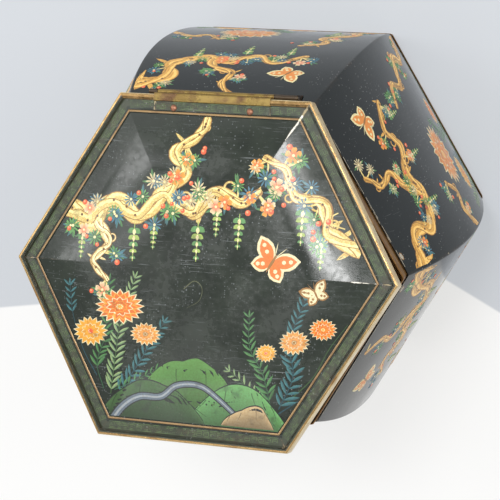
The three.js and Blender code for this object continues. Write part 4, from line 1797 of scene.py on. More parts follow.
@dataclass
class Picture:
    """A printed picture: large plates and the places of the small motifs."""

    seed: int
    way: int = 1
    plates: Draft = field(default_factory=Draft)
    marks: list[tuple[float, float, float, int, float, float]] = field(default_factory=list)

    def __post_init__(self) -> None:
        """Starts the picture's own run of chance."""
        self.chance = np.random.default_rng(self.seed)

    def turn(self, points: Line) -> list[tuple[float, float]]:
        """Points, left and right changed where the picture is mirrored."""
        return [(self.way * x, y) for x, y in points]

    def mark(self, motif: Motif, x: float, y: float, size: float, turn: float, lift: float = 0.0) -> None:
        """Puts a small motif down.

        Args:
            motif: Which one.
            x: Place across.
            y: Place upwards.
            size: Its size against the drawn one.
            turn: Its turn in radians.
            lift: Its height over the ground.
        """
        self.marks.append((x, y, lift, motif.value, turn, size))

    def smooth(self, points: Line, step: float = 1.2) -> np.ndarray:
        """A smooth line through points, cut into equal steps.

        Args:
            points: The points.
            step: Length of a step.

        Returns:
            N by 2 places.
        """
        given = np.array(points, float)
        padded = np.vstack([2 * given[0] - given[1], given, 2 * given[-1] - given[-2]])
        t = np.linspace(0, 1, 16, endpoint=False)[:, None]
        fine = []
        for a, b, c, d in zip(padded, padded[1:], padded[2:], padded[3:]):
            square, cube = (2 * a - 5 * b + 4 * c - d) * t**2, (3 * b - a - 3 * c + d) * t**3
            fine.append(0.5 * (2 * b + (c - a) * t + square + cube))
        line = np.vstack([*fine, given[-1]])
        run = run_along(line)
        places = np.linspace(0, run[-1], max(3, int(run[-1] / step)))
        return np.column_stack([np.interp(places, run, line[:, k]) for k in (0, 1)])

    def ribbon(
        self, line: np.ndarray, width: np.ndarray, high: float, ink: Colour, across: int = 3
    ) -> None:
        """Draws a flat ribbon of changing width along a line.

        Args:
            line: N by 2 places of its middle.
            width: Its width at each place, or left and right widths.
            high: Height of its top.
            ink: Its colour.
            across: Steps across it.
        """
        tangent = np.gradient(line, axis=0)
        tangent /= np.maximum(np.linalg.norm(tangent, axis=1), 1e-9)[:, None]
        normal = np.column_stack([-tangent[:, 1], tangent[:, 0]])
        sides = width if width.ndim == 2 else np.column_stack([width, width]) / 2
        t = np.linspace(-1, 1, across + 1)[None, :, None]
        reach = np.where(t < 0, sides[:, None, :1] * -t, sides[:, None, 1:] * t) * np.sign(t)
        self.plates.slab(line[:, None, :] + normal[:, None, :] * reach, high, ink)

    def bough(self, points: Line, start: float, end: float, ink: Colour) -> np.ndarray:
        """Draws a gnarled bough of twisted stems with knots, stubs and curling shoots.

        Args:
            points: Its course.
            start: Width where it starts.
            end: Width where it ends.
            ink: Colour of the body.

        Returns:
            The course in small steps.
        """
        line = self.smooth(points)
        count = len(line)
        width = np.linspace(start, end, count)
        waver = np.column_stack([self.rough(count, 6), self.rough(count, 6)])
        line = line + waver * width[:, None] * 0.14
        across = np.gradient(line, axis=0)[:, ::-1] * np.array([-1, 1])
        across /= np.linalg.norm(across, axis=1)[:, None]
        bark = (*ink, 1.0)
        lit = tuple(min(1.0, 1.3 * c + 0.06) for c in ink)
        turns = np.arange(count) * 1.2 / (2.6 * start)
        for stem, (phase, share) in enumerate(((0.0, 0.72), (2.3, 0.5), (4.4, 0.44))):
            sway = np.sin(2 * math.pi * turns * (0.5 + 0.13 * stem) + phase) * (1.02 - share) / 2
            course = line + across * (width * sway)[:, None]
            wave = np.column_stack([self.rough(count, 3), self.rough(count, 3)])
            sides = share * width[:, None] / 2 * (1 + 0.3 * wave)
            sides[-1] *= 0.2
            level = STEP * (1 + 0.7 * stem)
            self.ribbon(course, sides + 0.28, level, Ink.OLD_GOLD)
            self.ribbon(course, np.maximum(sides - 0.1, 0.12), level + 0.35 * STEP, bark)
            lumps = 0.2 + 0.24 * np.abs(np.sin(np.arange(count) * 0.9 + stem))
            beside = course + across * (0.2 * share * width)[:, None]
            self.ribbon(beside, np.maximum(lumps[:, None] * sides, 0.08), level + 0.6 * STEP, lit, 1)
        top = 3.2 * STEP
        for _ in range(int(count * start / 60)):
            k = int(self.chance.integers(2, max(3, count - 2)))
            self.plates.plate(disc(0.75, 7, *line[k]), top, Ink.OLD_GOLD)
            self.plates.plate(disc(0.38, 6, *line[k]), top + 0.4 * STEP, Ink.DARK)
        for _ in range(int(count / 12)):
            k = int(self.chance.integers(1, count - 1))
            length = max(1.8, 0.8 * width[k]) * self.chance.uniform(0.8, 1.5)
            stub = lens(length + width[k] / 2, max(0.5, 0.32 * width[k]))
            angle = self.chance.uniform(0, 2 * math.pi)
            self.plates.plate(turned_flat(stub, angle, *line[k]), 0.9 * STEP, bark)
        for _ in range(int(count / 16)):
            k = int(self.chance.integers(3, count - 3))
            self.shoot(line[k], self.chance.uniform(0, 2 * math.pi), max(1.9, 0.5 * width[k]), bark)
        return line

    def boughs(self, rows: Sequence[tuple], reach: float, size: float) -> None:
        """Draws boughs, and then their blossom.

        Args:
            rows: For each, its clusters, its widths at both ends, its colour and the points of
                its course.
            reach: How far the clusters stand off.
            size: Their size.
        """
        lines = []
        for _, start, end, ink, *course in rows:
            lines.append(self.bough(self.turn(course), start, end, ink))
        for line, (count, *_) in zip(lines, rows):
            self.flowering(line, count, reach, size)

    def racemes(self, *rows: tuple[float, float, float]) -> None:
        """Hangs racemes at places, each with its size."""
        for x, y, size in rows:
            self.mark(Motif.RACEME, self.way * x, y, size, 0.0, 0.03)

    def shoot(self, start: np.ndarray, course: float, radius: float, ink: Sequence[float]) -> None:
        """Draws a thin shoot that leaves a bough and curls back in a loop.

        Args:
            start: Where it leaves.
            course: Its direction.
            radius: Radius of the loop.
            ink: Its colour.
        """
        hand, curl, count = self.chance.choice((-1, 1)), 5.2, 22
        turn = np.linspace(0, 1, count)
        bend = course + hand * turn * curl
        grow = radius * (1.15 - 0.55 * turn)
        steps = np.column_stack([np.cos(bend), np.sin(bend)]) * (grow * curl / count)[:, None]
        line = start + np.cumsum(steps, axis=0)
        width = np.linspace(0.34, 0.16, count) * radius
        self.ribbon(line, width + 0.4, 0.8 * STEP, Ink.OLD_GOLD, 1)
        self.ribbon(line, width, 1.1 * STEP, ink, 1)

    def rough(self, count: int, every: int) -> np.ndarray:
        """A run of smooth chance values from -1 to 1."""
        knots = self.chance.uniform(-1, 1, count // every + 3)
        return np.interp(np.linspace(0, len(knots) - 1, count), np.arange(len(knots)), knots)

    def flowering(self, line: np.ndarray, count: int, reach: float, size: float = 1.0) -> None:
        """Sets clusters of blossoms, berries and leaves beside a bough.

        Args:
            line: The bough's course.
            count: How many clusters.
            reach: How far they stand off.
            size: Their size.
        """
        kinds = (
            Motif.GREEN_ASTER, Motif.CREAM_ASTER, Motif.BLUE_ASTER, Motif.CREAM_BLOSSOM, Motif.GOLD_BLOSSOM,
        )
        last = len(line) - 1
        for i, k in enumerate(np.linspace(0.08, 0.98, count)):
            here = line[int(k * last)]
            ahead = line[min(int(k * last) + 1, last)] - line[max(int(k * last) - 1, 0)]
            course = math.atan2(ahead[1], ahead[0])
            side = math.pi / 2 * (1 if i % 2 else -1)
            for _ in range(int(self.chance.integers(2, 4))):
                angle = course + side * self.chance.uniform(0.45, 1.55)
                off = reach * self.chance.uniform(0.75, 1.25)
                x, y = here + off * np.array([math.cos(angle), math.sin(angle)])
                kind = kinds[int(self.chance.choice(5, p=(0.34, 0.24, 0.26, 0.06, 0.1)))]
                grow = size * self.chance.uniform(0.78, 1.05)
                self.twig(here, np.array([x, y]))
                self.mark(kind, x, y, grow, self.chance.uniform(0, 6), 0.05)
                for _ in range(int(self.chance.integers(2, 5))):
                    turn = self.chance.uniform(0, 2 * math.pi)
                    motif = Motif.GREEN_LEAF if self.chance.random() < 0.6 else Motif.TEAL_LEAF
                    self.mark(motif, x, y, 0.66 * size, turn, 0.0)
            for _ in range(int(self.chance.integers(1, 3))):
                angle = course + side * self.chance.uniform(0.2, 1.8)
                x, y = here + 1.3 * reach * np.array([math.cos(angle), math.sin(angle)])
                self.mark(Motif.BERRY, x, y, 0.26 * size * self.chance.uniform(0.85, 1.2), 0.0, 0.09)

    def twig(self, start: np.ndarray, end: np.ndarray) -> None:
        """Draws a thin gold twig between two places."""
        middle = (start + end) / 2 + self.chance.uniform(-0.8, 0.8, 2)
        line = self.smooth([tuple(start), tuple(middle), tuple(end)], 1.4)
        self.ribbon(line, np.linspace(1.0, 0.5, len(line)), 1.4 * STEP, Ink.GOLD, 1)

    def spray(self, kind: tuple[Motif, Colour], size: float, *points: tuple[float, float]) -> None:
        """Draws a leafy stem with leaves in pairs.

        Args:
            kind: The leaf and the stem's colour.
            size: Size of the leaves.
            points: Its course.
        """
        (motif, stem), line, gap = kind, self.smooth(points, 1.0), 3
        self.ribbon(line, np.linspace(0.5, 0.22, len(line)), 1.2 * STEP, stem, 1)
        for k in range(2, len(line), gap):
            ahead = line[min(k + 1, len(line) - 1)] - line[k - 1]
            course = math.atan2(ahead[1], ahead[0]) - math.pi / 2
            fade = size * (1.1 - 0.45 * k / len(line))
            for side in (-1, 1):
                turn = course + side * self.chance.uniform(0.6, 0.95)
                self.mark(motif, *line[k], fade * self.chance.uniform(0.85, 1.1), turn, 0.01)
        self.mark(motif, *line[-1], 0.6 * size, course, 0.01)

    def chrysanthemum(
        self, x: float, y: float, radius: float, petal: Colour, heart: Colour, squash: float = 0.8
    ) -> None:
        """Draws a large many-petalled flower seen a little from the side.

        Args:
            x: Place across.
            y: Place upwards.
            radius: Its radius.
            petal: Petal colour.
            heart: Colour of its heart.
            squash: Height against width.
        """
        lean = self.chance.uniform(-0.25, 0.25)
        level = STEP + 0.05

        def lay(outline: np.ndarray, high: float, ink: Colour) -> None:
            """Squashes, leans and places an outline."""
            self.plates.plate(turned_flat(outline * (1, squash), lean, x, y), high, ink)

        for ring, (reach, count) in enumerate(((1.0, 17), (0.78, 14), (0.56, 11), (0.34, 8))):
            for i in range(count):
                angle = (i + 0.5 * (ring % 2)) * 2 * math.pi / count
                length, wide = radius * reach, 6.0 * radius * reach / count
                lay(turned_flat(lens(length, wide), angle), level, Ink.AMBER if ring % 2 else Ink.CREAM)
                shade = 0.82 + 0.12 * (i % 3)
                body = turned_flat(lens(length * 0.93, wide * 0.74), angle)
                lay(body, level + 0.4 * STEP, tuple(min(1.0, c * shade) for c in petal))
            level += 0.8 * STEP
        lay(disc(radius * 0.17, 9), level, heart)
        for dot in disc(radius * 0.11, 8):
            lay(disc(radius * 0.035, 5, *dot), level + 0.4 * STEP, Ink.CREAM)

    def butterfly(
        self, x: float, y: float, size: float, turn: float, wing: Colour, edge: Colour
    ) -> None:
        """Draws a butterfly with open wings.

        Args:
            x: Place across.
            y: Place upwards.
            size: Half its span.
            turn: Its turn.
            wing: Colour of the wings.
            edge: Colour of their edge.
        """
        level = STEP + 0.05

        def lay(outline: np.ndarray, high: float, ink: Colour) -> None:
            """Grows, turns and places an outline."""
            self.plates.plate(turned_flat(outline * size, turn, x, y), high, ink)

        for side in (-1, 1):
            for angle, length, wide in ((0.95, 1.0, 0.62), (2.15, 0.72, 0.56)):
                lay(turned_flat(lens(length, wide), side * angle), level, edge)
                lay(turned_flat(lens(length * 0.88, wide * 0.72), side * angle), level + 0.4 * STEP, wing)
                for reach in (0.42, 0.66):
                    spot = turned_flat(disc(0.075, 6, 0, length * reach), side * angle)
                    lay(spot, level + 0.8 * STEP, edge)
            lay(turned_flat(lens(0.55, 0.03), side * 0.35, 0, 0.2), level, edge)
        lay(lens(0.75, 0.11) - np.array([0, 0.38]), level + 0.9 * STEP, Ink.OLD_GOLD)

    def mound(
        self, left: float, right: float, foot: float, height: float, ink: Colour, level: float,
        rough: float = 0.12,
    ) -> None:
        """Draws a rounded hill with a dark outline.

        Args:
            left: Where it starts.
            right: Where it ends.
            foot: Height of its foot.
            height: Its height.
            ink: Its colour.
            level: Height of the ink.
            rough: How uneven its top is.
        """
        x = np.linspace(left, right, max(8, int((right - left) / 1.2)))
        t = (x - left) / (right - left)
        top = foot + height * np.sin(math.pi * t) ** 0.75 * (1 + rough * self.rough(len(x), 7))
        deep = tuple(0.42 * c for c in ink)
        light = tuple(min(1.0, 1.25 * c) for c in ink)
        dark = (Ink.DARK, Ink.DARK)
        for grow, high, inks in ((0.6, level, dark), (0.0, level + 0.5 * STEP, (deep, light))):
            middle = np.column_stack([x, (top + grow + foot) / 2])
            self.upright(middle, np.maximum(top + grow - foot, 0.05), high, inks)
        for share in (0.22, 0.4, 0.62, 0.8):
            k = int(share * len(x))
            fall = np.linspace(0.12, 0.62, 9)
            bow = self.chance.uniform(-0.5, 0.5) * height
            side = x[k] + (x[k] - (left + right) / 2) * fall * 0.8 + bow * fall**2
            crease = np.column_stack([side, top[k] + (foot - top[k]) * fall])
            self.ribbon(crease, np.linspace(0.5, 0.15, 9), level + 0.9 * STEP, deep, 1)

    def upright(
        self, middle: np.ndarray, tall: np.ndarray, high: float, inks: tuple[Colour, Colour]
    ) -> None:
        """Draws a plate of upright strips about a middle line.

        Args:
            middle: N by 2 places.
            tall: Its height at each place.
            high: Height of its top.
            inks: Its colours at the foot and at the top.
        """
        rows = max(2, int(tall.max() / 2.2))
        share = np.linspace(0.5, -0.5, rows + 1)
        up = tall[:, None] * share
        tones = np.tile(blend(*inks, (share + 0.5) ** 1.4)[:-1], (len(tall), 1, 1))
        self.plates.slab(middle[:, None, :] + np.dstack([np.zeros_like(up), up]), high, tones)

    def worn_edge(self, left: float, right: float, y: float) -> None:
        """Draws short bare streaks along an edge, where the lacquer has rubbed off.

        Args:
            left: Where they start.
            right: Where they end.
            y: Height of the edge.
        """
        x = left
        while x < right:
            length = self.chance.uniform(3.0, 13.0)
            line = np.column_stack([np.linspace(x, min(x + length, right), 14), np.full(14, y)])
            width = 0.22 + 0.2 * np.abs(self.rough(14, 3))
            self.ribbon(line, width, STEP, Ink.BARE_TIN, 1)
            x += length + self.chance.uniform(0.6, 5.0)

    def chip(self, x: float, y: float, radius: float) -> None:
        """Draws a flake broken off down to the tin, with a dark edge.

        Args:
            x: Place across.
            y: Place upwards.
            radius: Its size.
        """
        outline = disc(radius) * (1 + 0.3 * self.rough(9, 2)[:, None]) * (1.0, 0.6)
        self.plates.plate(outline + (x, y), 0.6 * STEP, Ink.OLD_GOLD)
        self.plates.plate(outline * 0.8 + (x, y), STEP, Ink.BARE_TIN)

    def keep_inside(self, shrink: Callable[[float, float], float]) -> None:
        """Draws what crosses the printed ground's edge back to it.

        Args:
            shrink: Gives the factor, 1 or less, for a place.
        """
        for block in self.plates.points:
            for point in block:
                point[:2] *= shrink(point[0], point[1])

    def points(self, inside: Callable[[float, float], bool]) -> bpy.types.Mesh:
        """The motifs' places as loose points with their attributes.

        Args:
            inside: Tells whether a place is on the printed ground.

        Returns:
            A mesh of points.
        """
        kept = [m for m in self.marks if inside(m[0], m[1])]
        mesh = bpy.data.meshes.new("places")
        mesh.from_pydata([(x * MM, y * MM, z * MM) for x, y, z, *_ in kept], [], [])
        for name, kind, column in (("kind", "INT", 3), ("turn", "FLOAT", 4), ("size", "FLOAT", 5)):
            values = mesh.attributes.new(name, kind, "POINT")
            values.data.foreach_set("value", [m[column] for m in kept])
        return mesh


@dataclass
class PrintWorks(Part):
    """Prints the lid, its key border and the six walls."""

    lid: Lid
    key_pitch: float = 3.4
    keys: int = 25
    key_at: float = 77.05
    key_half: float = 1.8
    key_bar: float = 0.33
    picture_edge: float = 72.6

    def lid_picture(self) -> Picture:
        """Draws the lid's picture: blossoming boughs over mounds with large flowers.

        Returns:
            The picture.
        """
        art = Picture(seed=11)
        boughs = (
            (11, 10.0, 5.0, Ink.GOLD, (-70, 26), (-56, 20), (-45, 31), (-31, 24), (-19, 35),
             (-5, 27), (6, 38), (20, 33), (28, 39)),
            (3, 5.5, 2.4, Ink.PALE_GOLD, (-54, 21), (-47, 10), (-54, 1), (-46, -8)),
            (4, 6.5, 4.0, Ink.GOLD, (-19, 35), (-10, 46), (-17, 55), (-6, 63), (-2, 73)),
            (8, 7.5, 3.0, Ink.GOLD, (76, 14), (62, 22), (56, 35), (44, 38), (38, 50), (27, 55)),
        )
        art.boughs(boughs, 7.5, 0.92)
        art.racemes(
            (-34, 20, 1.7), (-24, 21, 1.2), (-2, 23, 1.8), (7, 30, 1.3), (18, 28, 1.6),
            (48, 34, 1.8), (58, 19, 1.4), (-61, 14, 1.2),
        )
        art.butterfly(35, 6, 14.0, -0.5, Ink.ORANGE, Ink.CREAM)
        art.butterfly(57, -7, 8.5, 0.5, Ink.CREAM, Ink.OLD_GOLD)
        for spray in (
            (SAGE, 0.66, (-42, -62), (-40, -44), (-38, -26), (-32, -6)),
            (LEAFY, 0.62, (-46, -60), (-50, -48), (-46, -34), (-45, -8)),
            (TEAL, 0.66, (-50, -54), (-58, -42), (-64, -26), (-66, -12)),
            (TEAL, 0.66, (-38, -62), (-30, -50), (-22, -36), (-16, -26)),
            (LEAFY, 0.52, (-40, -60), (-28, -54), (-18, -48)),
            (TEAL, 0.7, (42, -62), (48, -46), (46, -30), (52, -10)),
            (LEAFY, 0.62, (38, -60), (34, -46), (27, -34), (26, -20)),
            (SAGE, 0.66, (46, -58), (57, -46), (64, -32), (72, -20)),
            (TEAL, 0.58, (42, -64), (52, -56), (60, -46)),
            (SAGE, 0.54, (36, -62), (26, -52), (18, -46)),
        ):
            art.spray(*spray)
        for flower in (
            (-39, -20, 13.0, Ink.ORANGE, Ink.AMBER, 0.66),
            (-54, -33, 9.8, Ink.AMBER, Ink.CORAL, 0.74),
            (-25, -32, 8.0, srgb(222, 150, 84), Ink.OLD_GOLD, 0.7),
            (61, -23, 6.6, Ink.ORANGE, Ink.AMBER),
            (48, -30, 7.4, srgb(222, 156, 96), Ink.OLD_GOLD),
            (35, -36, 5.4, Ink.AMBER, Ink.CORAL),
        ):
            art.chrysanthemum(*flower)
        for mound in (
            (-33, 29, -73.5, 32, Ink.MEADOW, 0.03, 0.07),
            (-3, 47, -73.5, 21, Ink.GREEN, 0.045, 0.07),
            (-48, 6, -73.5, 19, Ink.MOSS, 0.06, 0.07),
            (14, 40, -72.0, 11, Ink.STONE, 0.115, 0.3),
        ):
            art.mound(*mound)
        scuff = art.smooth([(-7, -9), (-2, -5), (2, -8), (1, -14), (-5, -18)])
        art.ribbon(scuff, np.linspace(0.55, 0.1, len(scuff)), 0.02, srgb(78, 84, 56))
        self.brook(art)
        edge = self.picture_edge
        art.keep_inside(lambda x, y: edge / max(self.hex_reach(x, y), edge))
        return art

    def brook(self, art: Picture) -> None:
        """Draws the brook before the mounds: its dark banks, the water and a light along it.

        Args:
            art: The lid's picture.
        """
        course = ((-44, -79), (-36, -68), (-27, -62), (-16, -61), (-8, -55), (3, -54), (12, -59), (24, -69))
        line = art.smooth(course)
        flow = np.linspace(3.6, 1.8, len(line))
        art.ribbon(line, flow + 1.1, 0.085, Ink.DARK)
        art.ribbon(line, flow, 0.095, Ink.SLATE)
        art.ribbon(line, flow * 0.3, 0.105, Ink.WATER)

    def hex_reach(self, x: float, y: float) -> float:
        """The apothem of the hexagon, ridges on the X axis, that a place lies on."""
        turns = (0.5 * SECTOR, 1.5 * SECTOR, 2.5 * SECTOR)
        return max(abs(x * math.cos(turn) + y * math.sin(turn)) for turn in turns)

    def wall_picture(self, seed: int, way: int) -> Picture:
        """Draws a wall's picture: boughs with blossom and one great flower.

        Args:
            seed: Start of its run of chance.
            way: 1, or -1 where left and right change places.

        Returns:
            The picture.
        """
        art = Picture(seed=seed, way=way)
        gold = Ink.WALL_GOLD
        boughs = (
            (8, 9.0, 4.0, gold, (-60, 78), (-44, 68), (-32, 60), (-35, 46), (-20, 36), (-8, 42),
             (5, 33), (16, 40), (30, 30)),
            (4, 5.5, 2.6, gold, (-20, 36), (-12, 49), (-2, 55), (-4, 66), (4, 76)),
            (6, 8.0, 3.0, gold, (66, -56), (50, -46), (38, -34), (41, -18), (28, -6), (32, 6), (20, 14)),
            (3, 5.0, 2.4, gold, (-68, -14), (-54, -7), (-42, 1), (-33, -3), (-24, 7)),
        )
        art.boughs(boughs, 6.5, 0.76)
        art.racemes((-26, 38, 1.3), (-2, 32, 1.4), (20, 30, 1.2), (30, -20, 1.1))
        for kind, size, *course in (
            (TEAL, 0.8, (-28, -58), (-24, -42), (-28, -28), (-22, -18)),
            (LEAFY, 0.8, (-14, -58), (-6, -46), (-6, -34), (2, -24)),
            ((Motif.PALE_LEAF, Ink.GREEN), 0.7, (-30, -56), (-42, -44), (-46, -30)),
        ):
            art.spray(kind, size, *art.turn(course))
        art.chrysanthemum(way * -14, -14, 17.0, srgb(224, 132, 56), Ink.AMBER, 0.78)
        art.chrysanthemum(way * -30, -36, 10.0, Ink.AMBER, Ink.CORAL)
        art.chrysanthemum(way * 6, -42, 8.0, Ink.ORANGE, Ink.AMBER)
        art.butterfly(way * 26, 52, 11.0, way * 0.5, srgb(226, 142, 60), Ink.PALE_GOLD)
        art.mound(-46, 10, -61, 9, Ink.MOSS, 0.03)
        art.mound(-6, 46, -61, 7, Ink.MEADOW, 0.05)
        art.worn_edge(-42.0, 42.0, self.mouth_y - 0.5)
        art.chip(way * -37.0, self.mouth_y - 1.9, 1.9)
        art.keep_inside(lambda x, y: min(1.0, self.wall_half(y) / max(abs(x), 1.0)))
        return art

    @property
    def mouth_y(self) -> float:
        """The wall's top edge, measured along its arc."""
        return TIN.bulge_radius * math.asin((TIN.wall_top - TIN.belly_z) / TIN.bulge_radius)

    def wall_half(self, y: float) -> float:
        """Half the width of a wall's printed face at a place along its arc."""
        z = TIN.belly_z + TIN.bulge_radius * math.sin(y / TIN.bulge_radius)
        return TIN.wall_apothem(min(z, TIN.wall_top)) * TAN30 - 1.2

    def key(self) -> Piece:
        """One turn of the key pattern: a squared hook between two rails.

        Returns:
            The pattern.
        """
        draft = Draft()
        half, tall, bar = self.key_pitch / 2, self.key_half, self.key_bar
        left, right, low, high = -half + 0.25, half - 0.3, 0.7 - tall, tall - 0.7
        bars = (
            (-half, tall - bar, half, tall), (-half, -tall, half, -tall + bar),
            (left, low, left + bar, high), (left, high - 0.32, right, high),
            (right - bar, -0.15, right, high), (-half + 0.95, -0.3, right, 0.02),
            (left, low, right, low + 0.32),
        )
        for x0, y0, x1, y1 in bars:
            draft.plate(np.array([[x0, y0], [x1, y0], [x1, y1], [x0, y1]]), 0.03, Ink.KEY)
        return draft.build("key_pattern")

    def ground(self, *pieces: Piece) -> Piece:
        """Joins copies of pieces into the surface that the print is laid on.

        Args:
            pieces: The pieces.

        Returns:
            The surface.
        """
        mesh = bpy.data.meshes.new("ground")
        work = bmesh.new()
        for piece in pieces:
            work.from_mesh(piece.data)
        work.to_mesh(mesh)
        work.free()
        return linked(bpy.data.objects.new("ground", mesh))

    def build(self, panel: Piece, leaf: Piece) -> None:
        """Prints everything and fits it.

        Args:
            panel: The closed lid's panel.
            leaf: The hinge leaf on it.
        """
        ink, motifs = self.paint.get(Look.INK), MotifMaker().collection()
        ground, key = self.ground(panel, leaf), self.key()
        art = self.lid_picture()
        plates = art.plates.build("plates")
        values = {"Motifs": motifs, "Plates": plates, "Surface": ground, "Material": ink}
        on_lid = art.points(lambda x, y: self.hex_reach(x, y) < 68.5)
        self.lid.stand(PrintTree().make("lid_picture", on_lid, values), Slot.LID_PRINT)
        values = {
            "Pattern": key, "Count": self.keys, "Pitch": self.key_pitch * MM,
            "Apothem": self.key_at * MM, "Surface": ground,
            "Material": self.paint.get(Look.BAND_INK),
        }
        band = KeyBandTree().make("lid_key_band", bpy.data.meshes.new("band"), values)
        self.lid.stand(band, Slot.LID_PRINT)
        spare = [plates, key, ground]
        tree = WallPrintTree()
        for i, name in enumerate(WALLS):
            art = self.wall_picture(31 + i, -1 if i % 2 else 1)
            plates = art.plates.build("plates")
            values = {
                "Motifs": motifs, "Plates": plates, "Material": ink,
                "Radius": TIN.bulge_radius * MM, "Centre": TIN.bulge_centre * MM,
                "Belly height": TIN.belly_z * MM, "Turn": i * SECTOR,
            }
            on_wall = art.points(lambda x, y: -56 < y < 76 and abs(x) < self.wall_half(y) - 3)
            fit(tree.make(f"{name}_picture", on_wall, values), Body.BOX, Slot.BLACK_PRINT)
            spare.append(plates)
        for obj in [*spare, *motifs.objects]:
            bpy.data.objects.remove(obj)
        bpy.data.collections.remove(motifs)


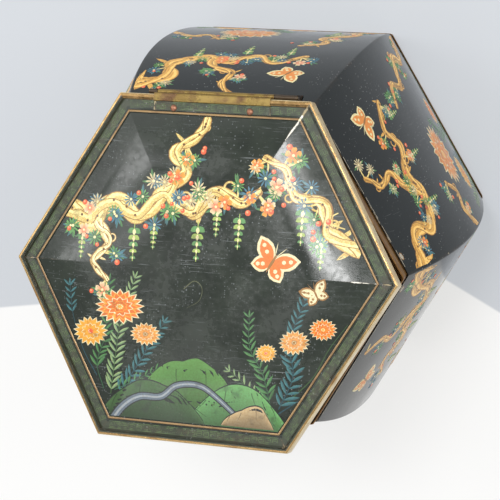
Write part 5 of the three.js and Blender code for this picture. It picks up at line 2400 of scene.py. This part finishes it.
@dataclass
class Studio:
    """The floor, the soft lights and the camera of the photograph."""

    focal: float = 1946.9
    frame_px: float = 500.0
    sensor: float = 36.0
    place: Colour = (0.2911, 0.2901, 0.9998)
    right: Colour = (0.9532, -0.0221, -0.3015)
    up: Colour = (-0.0704, 0.9536, -0.2926)
    back: Colour = (0.294, 0.3002, 0.9075)
    cool: Colour = srgb(208, 212, 217)
    white: Colour = srgb(248, 248, 247)
    table_edges: tuple[Colour, Colour] = ((-0.1599, 0.9871, -0.05675), (0.4815, 0.8765, -0.00494))
    world_light: float = 0.7
    floor_glow: float = 0.6
    floor_size: float = 6.0
    floor_drop: float = 0.0003
    table_blur: float = 0.0009

    def camera(self) -> None:
        """Makes the camera at the photograph's angle."""
        data = bpy.data.cameras.new("Camera")
        data.sensor_width = self.sensor
        data.lens = self.focal / self.frame_px * self.sensor
        data.clip_start, data.clip_end = 0.05, 20.0
        obj = linked(bpy.data.objects.new("Camera", data))
        axes = Matrix((self.right, self.up, self.back)).transposed()
        turn = axes.to_quaternion().to_matrix().to_4x4()
        obj.matrix_world = Matrix.Translation(self.place) @ turn
        bpy.context.scene.camera = obj

    def floor(self) -> None:
        """Makes the floor: a white table top that ends before a pale grey ground."""
        work = bmesh.new()
        bmesh.ops.create_grid(work, x_segments=2, y_segments=2, size=self.floor_size)
        mesh = bpy.data.meshes.new("floor")
        work.to_mesh(mesh)
        work.free()
        mesh.transform(Matrix.Translation((0, 0, -self.floor_drop)))
        floor = linked(bpy.data.objects.new("floor", mesh))
        material = bpy.data.materials.new("Pale floor")
        material.use_nodes = True
        material.node_tree.nodes.clear()
        nodes = Nodes(material.node_tree)
        place = nodes.add("ShaderNodeTexCoord").outputs["Object"]
        past = [self.past_line(nodes, place, line) for line in self.table_edges]
        share = nodes.ramp(nodes.math("MAXIMUM", *past), -self.table_blur, self.table_blur)
        tone = nodes.mix(share, self.white, self.cool)
        matte = {"Base Color": tone, "Roughness": 0.8, "Specular IOR Level": 0.1}
        shader = nodes.add("ShaderNodeBsdfPrincipled", matte)
        rays = nodes.add("ShaderNodeLightPath").outputs
        seen = nodes.times(rays["Is Camera Ray"], self.floor_glow)
        seen = nodes.math("MAXIMUM", seen, rays["Is Glossy Ray"])
        glow = nodes.add("ShaderNodeEmission", {"Color": tone})
        self.mixed(nodes, seen, shader, glow, "ShaderNodeOutputMaterial")
        mesh.materials.append(material)

    def mixed(
        self, nodes: Nodes, share: Socket, first: bpy.types.Node, second: bpy.types.Node, output: str
    ) -> None:
        """Ends a tree with a mix of two shaders.

        Args:
            nodes: The tree.
            share: The second's share.
            first: The first shader.
            second: The second shader.
            output: Kind of the output node.
        """
        mix = nodes.add("ShaderNodeMixShader", {0: share, 1: first.outputs[0], 2: second.outputs[0]})
        nodes.add(output, {"Surface": mix.outputs[0]})

    def past_line(self, nodes: Nodes, place: Socket, line: Colour) -> Socket:
        """How far a place on the floor lies past a line.

        Args:
            nodes: The material's tree.
            place: The place.
            line: X and Y of the line's unit normal, and its distance from the origin.

        Returns:
            The distance in metres, less than nothing before the line.
        """
        feeds = {0: place, 1: (line[0], line[1], 0.0)}
        dot = nodes.add("ShaderNodeVectorMath", feeds, operation="DOT_PRODUCT")
        return nodes.minus(dot.outputs["Value"], line[2])

    def softbox(self, name: str, place: Colour, aim: Colour, size: float, power: float) -> None:
        """Makes one soft light.

        Args:
            name: Its name.
            place: Where it stands, in metres.
            aim: What it points at.
            size: The side of its square face.
            power: Its power in watts.
        """
        data = bpy.data.lights.new(name, "AREA")
        data.shape, data.size, data.energy = "SQUARE", size, power
        lamp = linked(bpy.data.objects.new(name, data))
        lamp.location = place
        aim_along = Vector(aim) - Vector(place)
        lamp.rotation_mode = "QUATERNION"
        lamp.rotation_quaternion = aim_along.to_track_quat("-Z", "Y")

    def world(self) -> None:
        """Makes the even light, which gloss sees too, and the pale surroundings that the camera and glass
        see.
        """
        world = bpy.data.worlds.new("Studio")
        bpy.context.scene.world = world
        world.use_nodes = True
        world.node_tree.nodes.clear()
        nodes = Nodes(world.node_tree)
        rays = nodes.add("ShaderNodeLightPath").outputs
        seen = nodes.math("MAXIMUM", rays["Is Camera Ray"], rays["Is Transmission Ray"])
        light = nodes.add("ShaderNodeBackground", {"Strength": self.world_light})
        view = nodes.add("ShaderNodeBackground", {"Color": self.cool})
        self.mixed(nodes, seen, light, view, "ShaderNodeOutputWorld")

    def build(self) -> None:
        """Sets up the whole studio."""
        bpy.context.scene.view_settings.view_transform = "Standard"
        self.camera()
        self.floor()
        self.world()
        lid = (0.0, 0.0, 0.17)
        for name, place, size, power in (
            ("key", (0.9, 0.5, 0.9), 0.7, 5.6),
            ("fill", (-0.8, 0.9, 0.6), 0.9, 2.8),
            ("window", (0.07, 0.67, 1.51), 0.38, 9.5),
            ("side_window", (-0.85, 0.56, 1.25), 0.46, 4.2),
            ("front_sheet", (-0.42, -0.24, 1.58), 0.5, 2.4),
        ):
            self.softbox(name, place, lid, size, power)


def main() -> None:
    """Builds the tin and its studio."""
    logging.basicConfig(level=logging.INFO, format="%(name)s: %(message)s")
    Studio().build()
    paint = Paintbox()
    for part in (Walls(paint), Neck(paint), Base(paint)):
        part.build()
    lid = Lid(paint)
    hinge = Hinge(paint, lid)
    panel, rim, leaf = lid.panel(), lid.rim(), hinge.lid_leaf()
    PrintWorks(paint, lid).build(panel, leaf)
    lid.stand(panel, Slot.LID_PRINT, "lid_panel")
    lid.stand(rim, Slot.GOLD_RIM, "lid_rim")
    lid.stand(leaf, Slot.BORDER_LEAF, "lid_hinge_leaf")
    lid.stand(hinge.rivets(), Slot.RIVET, "lid_rivet_left", "lid_rivet_right")
    fit(hinge.body_leaf(), Body.BOX, Slot.BLACK_LEAF, "body_hinge_leaf")
    fit(hinge.pin(), Body.BOX, Slot.PIN_WIRE, "hinge_pin")


if __name__ == "__main__":
    main()
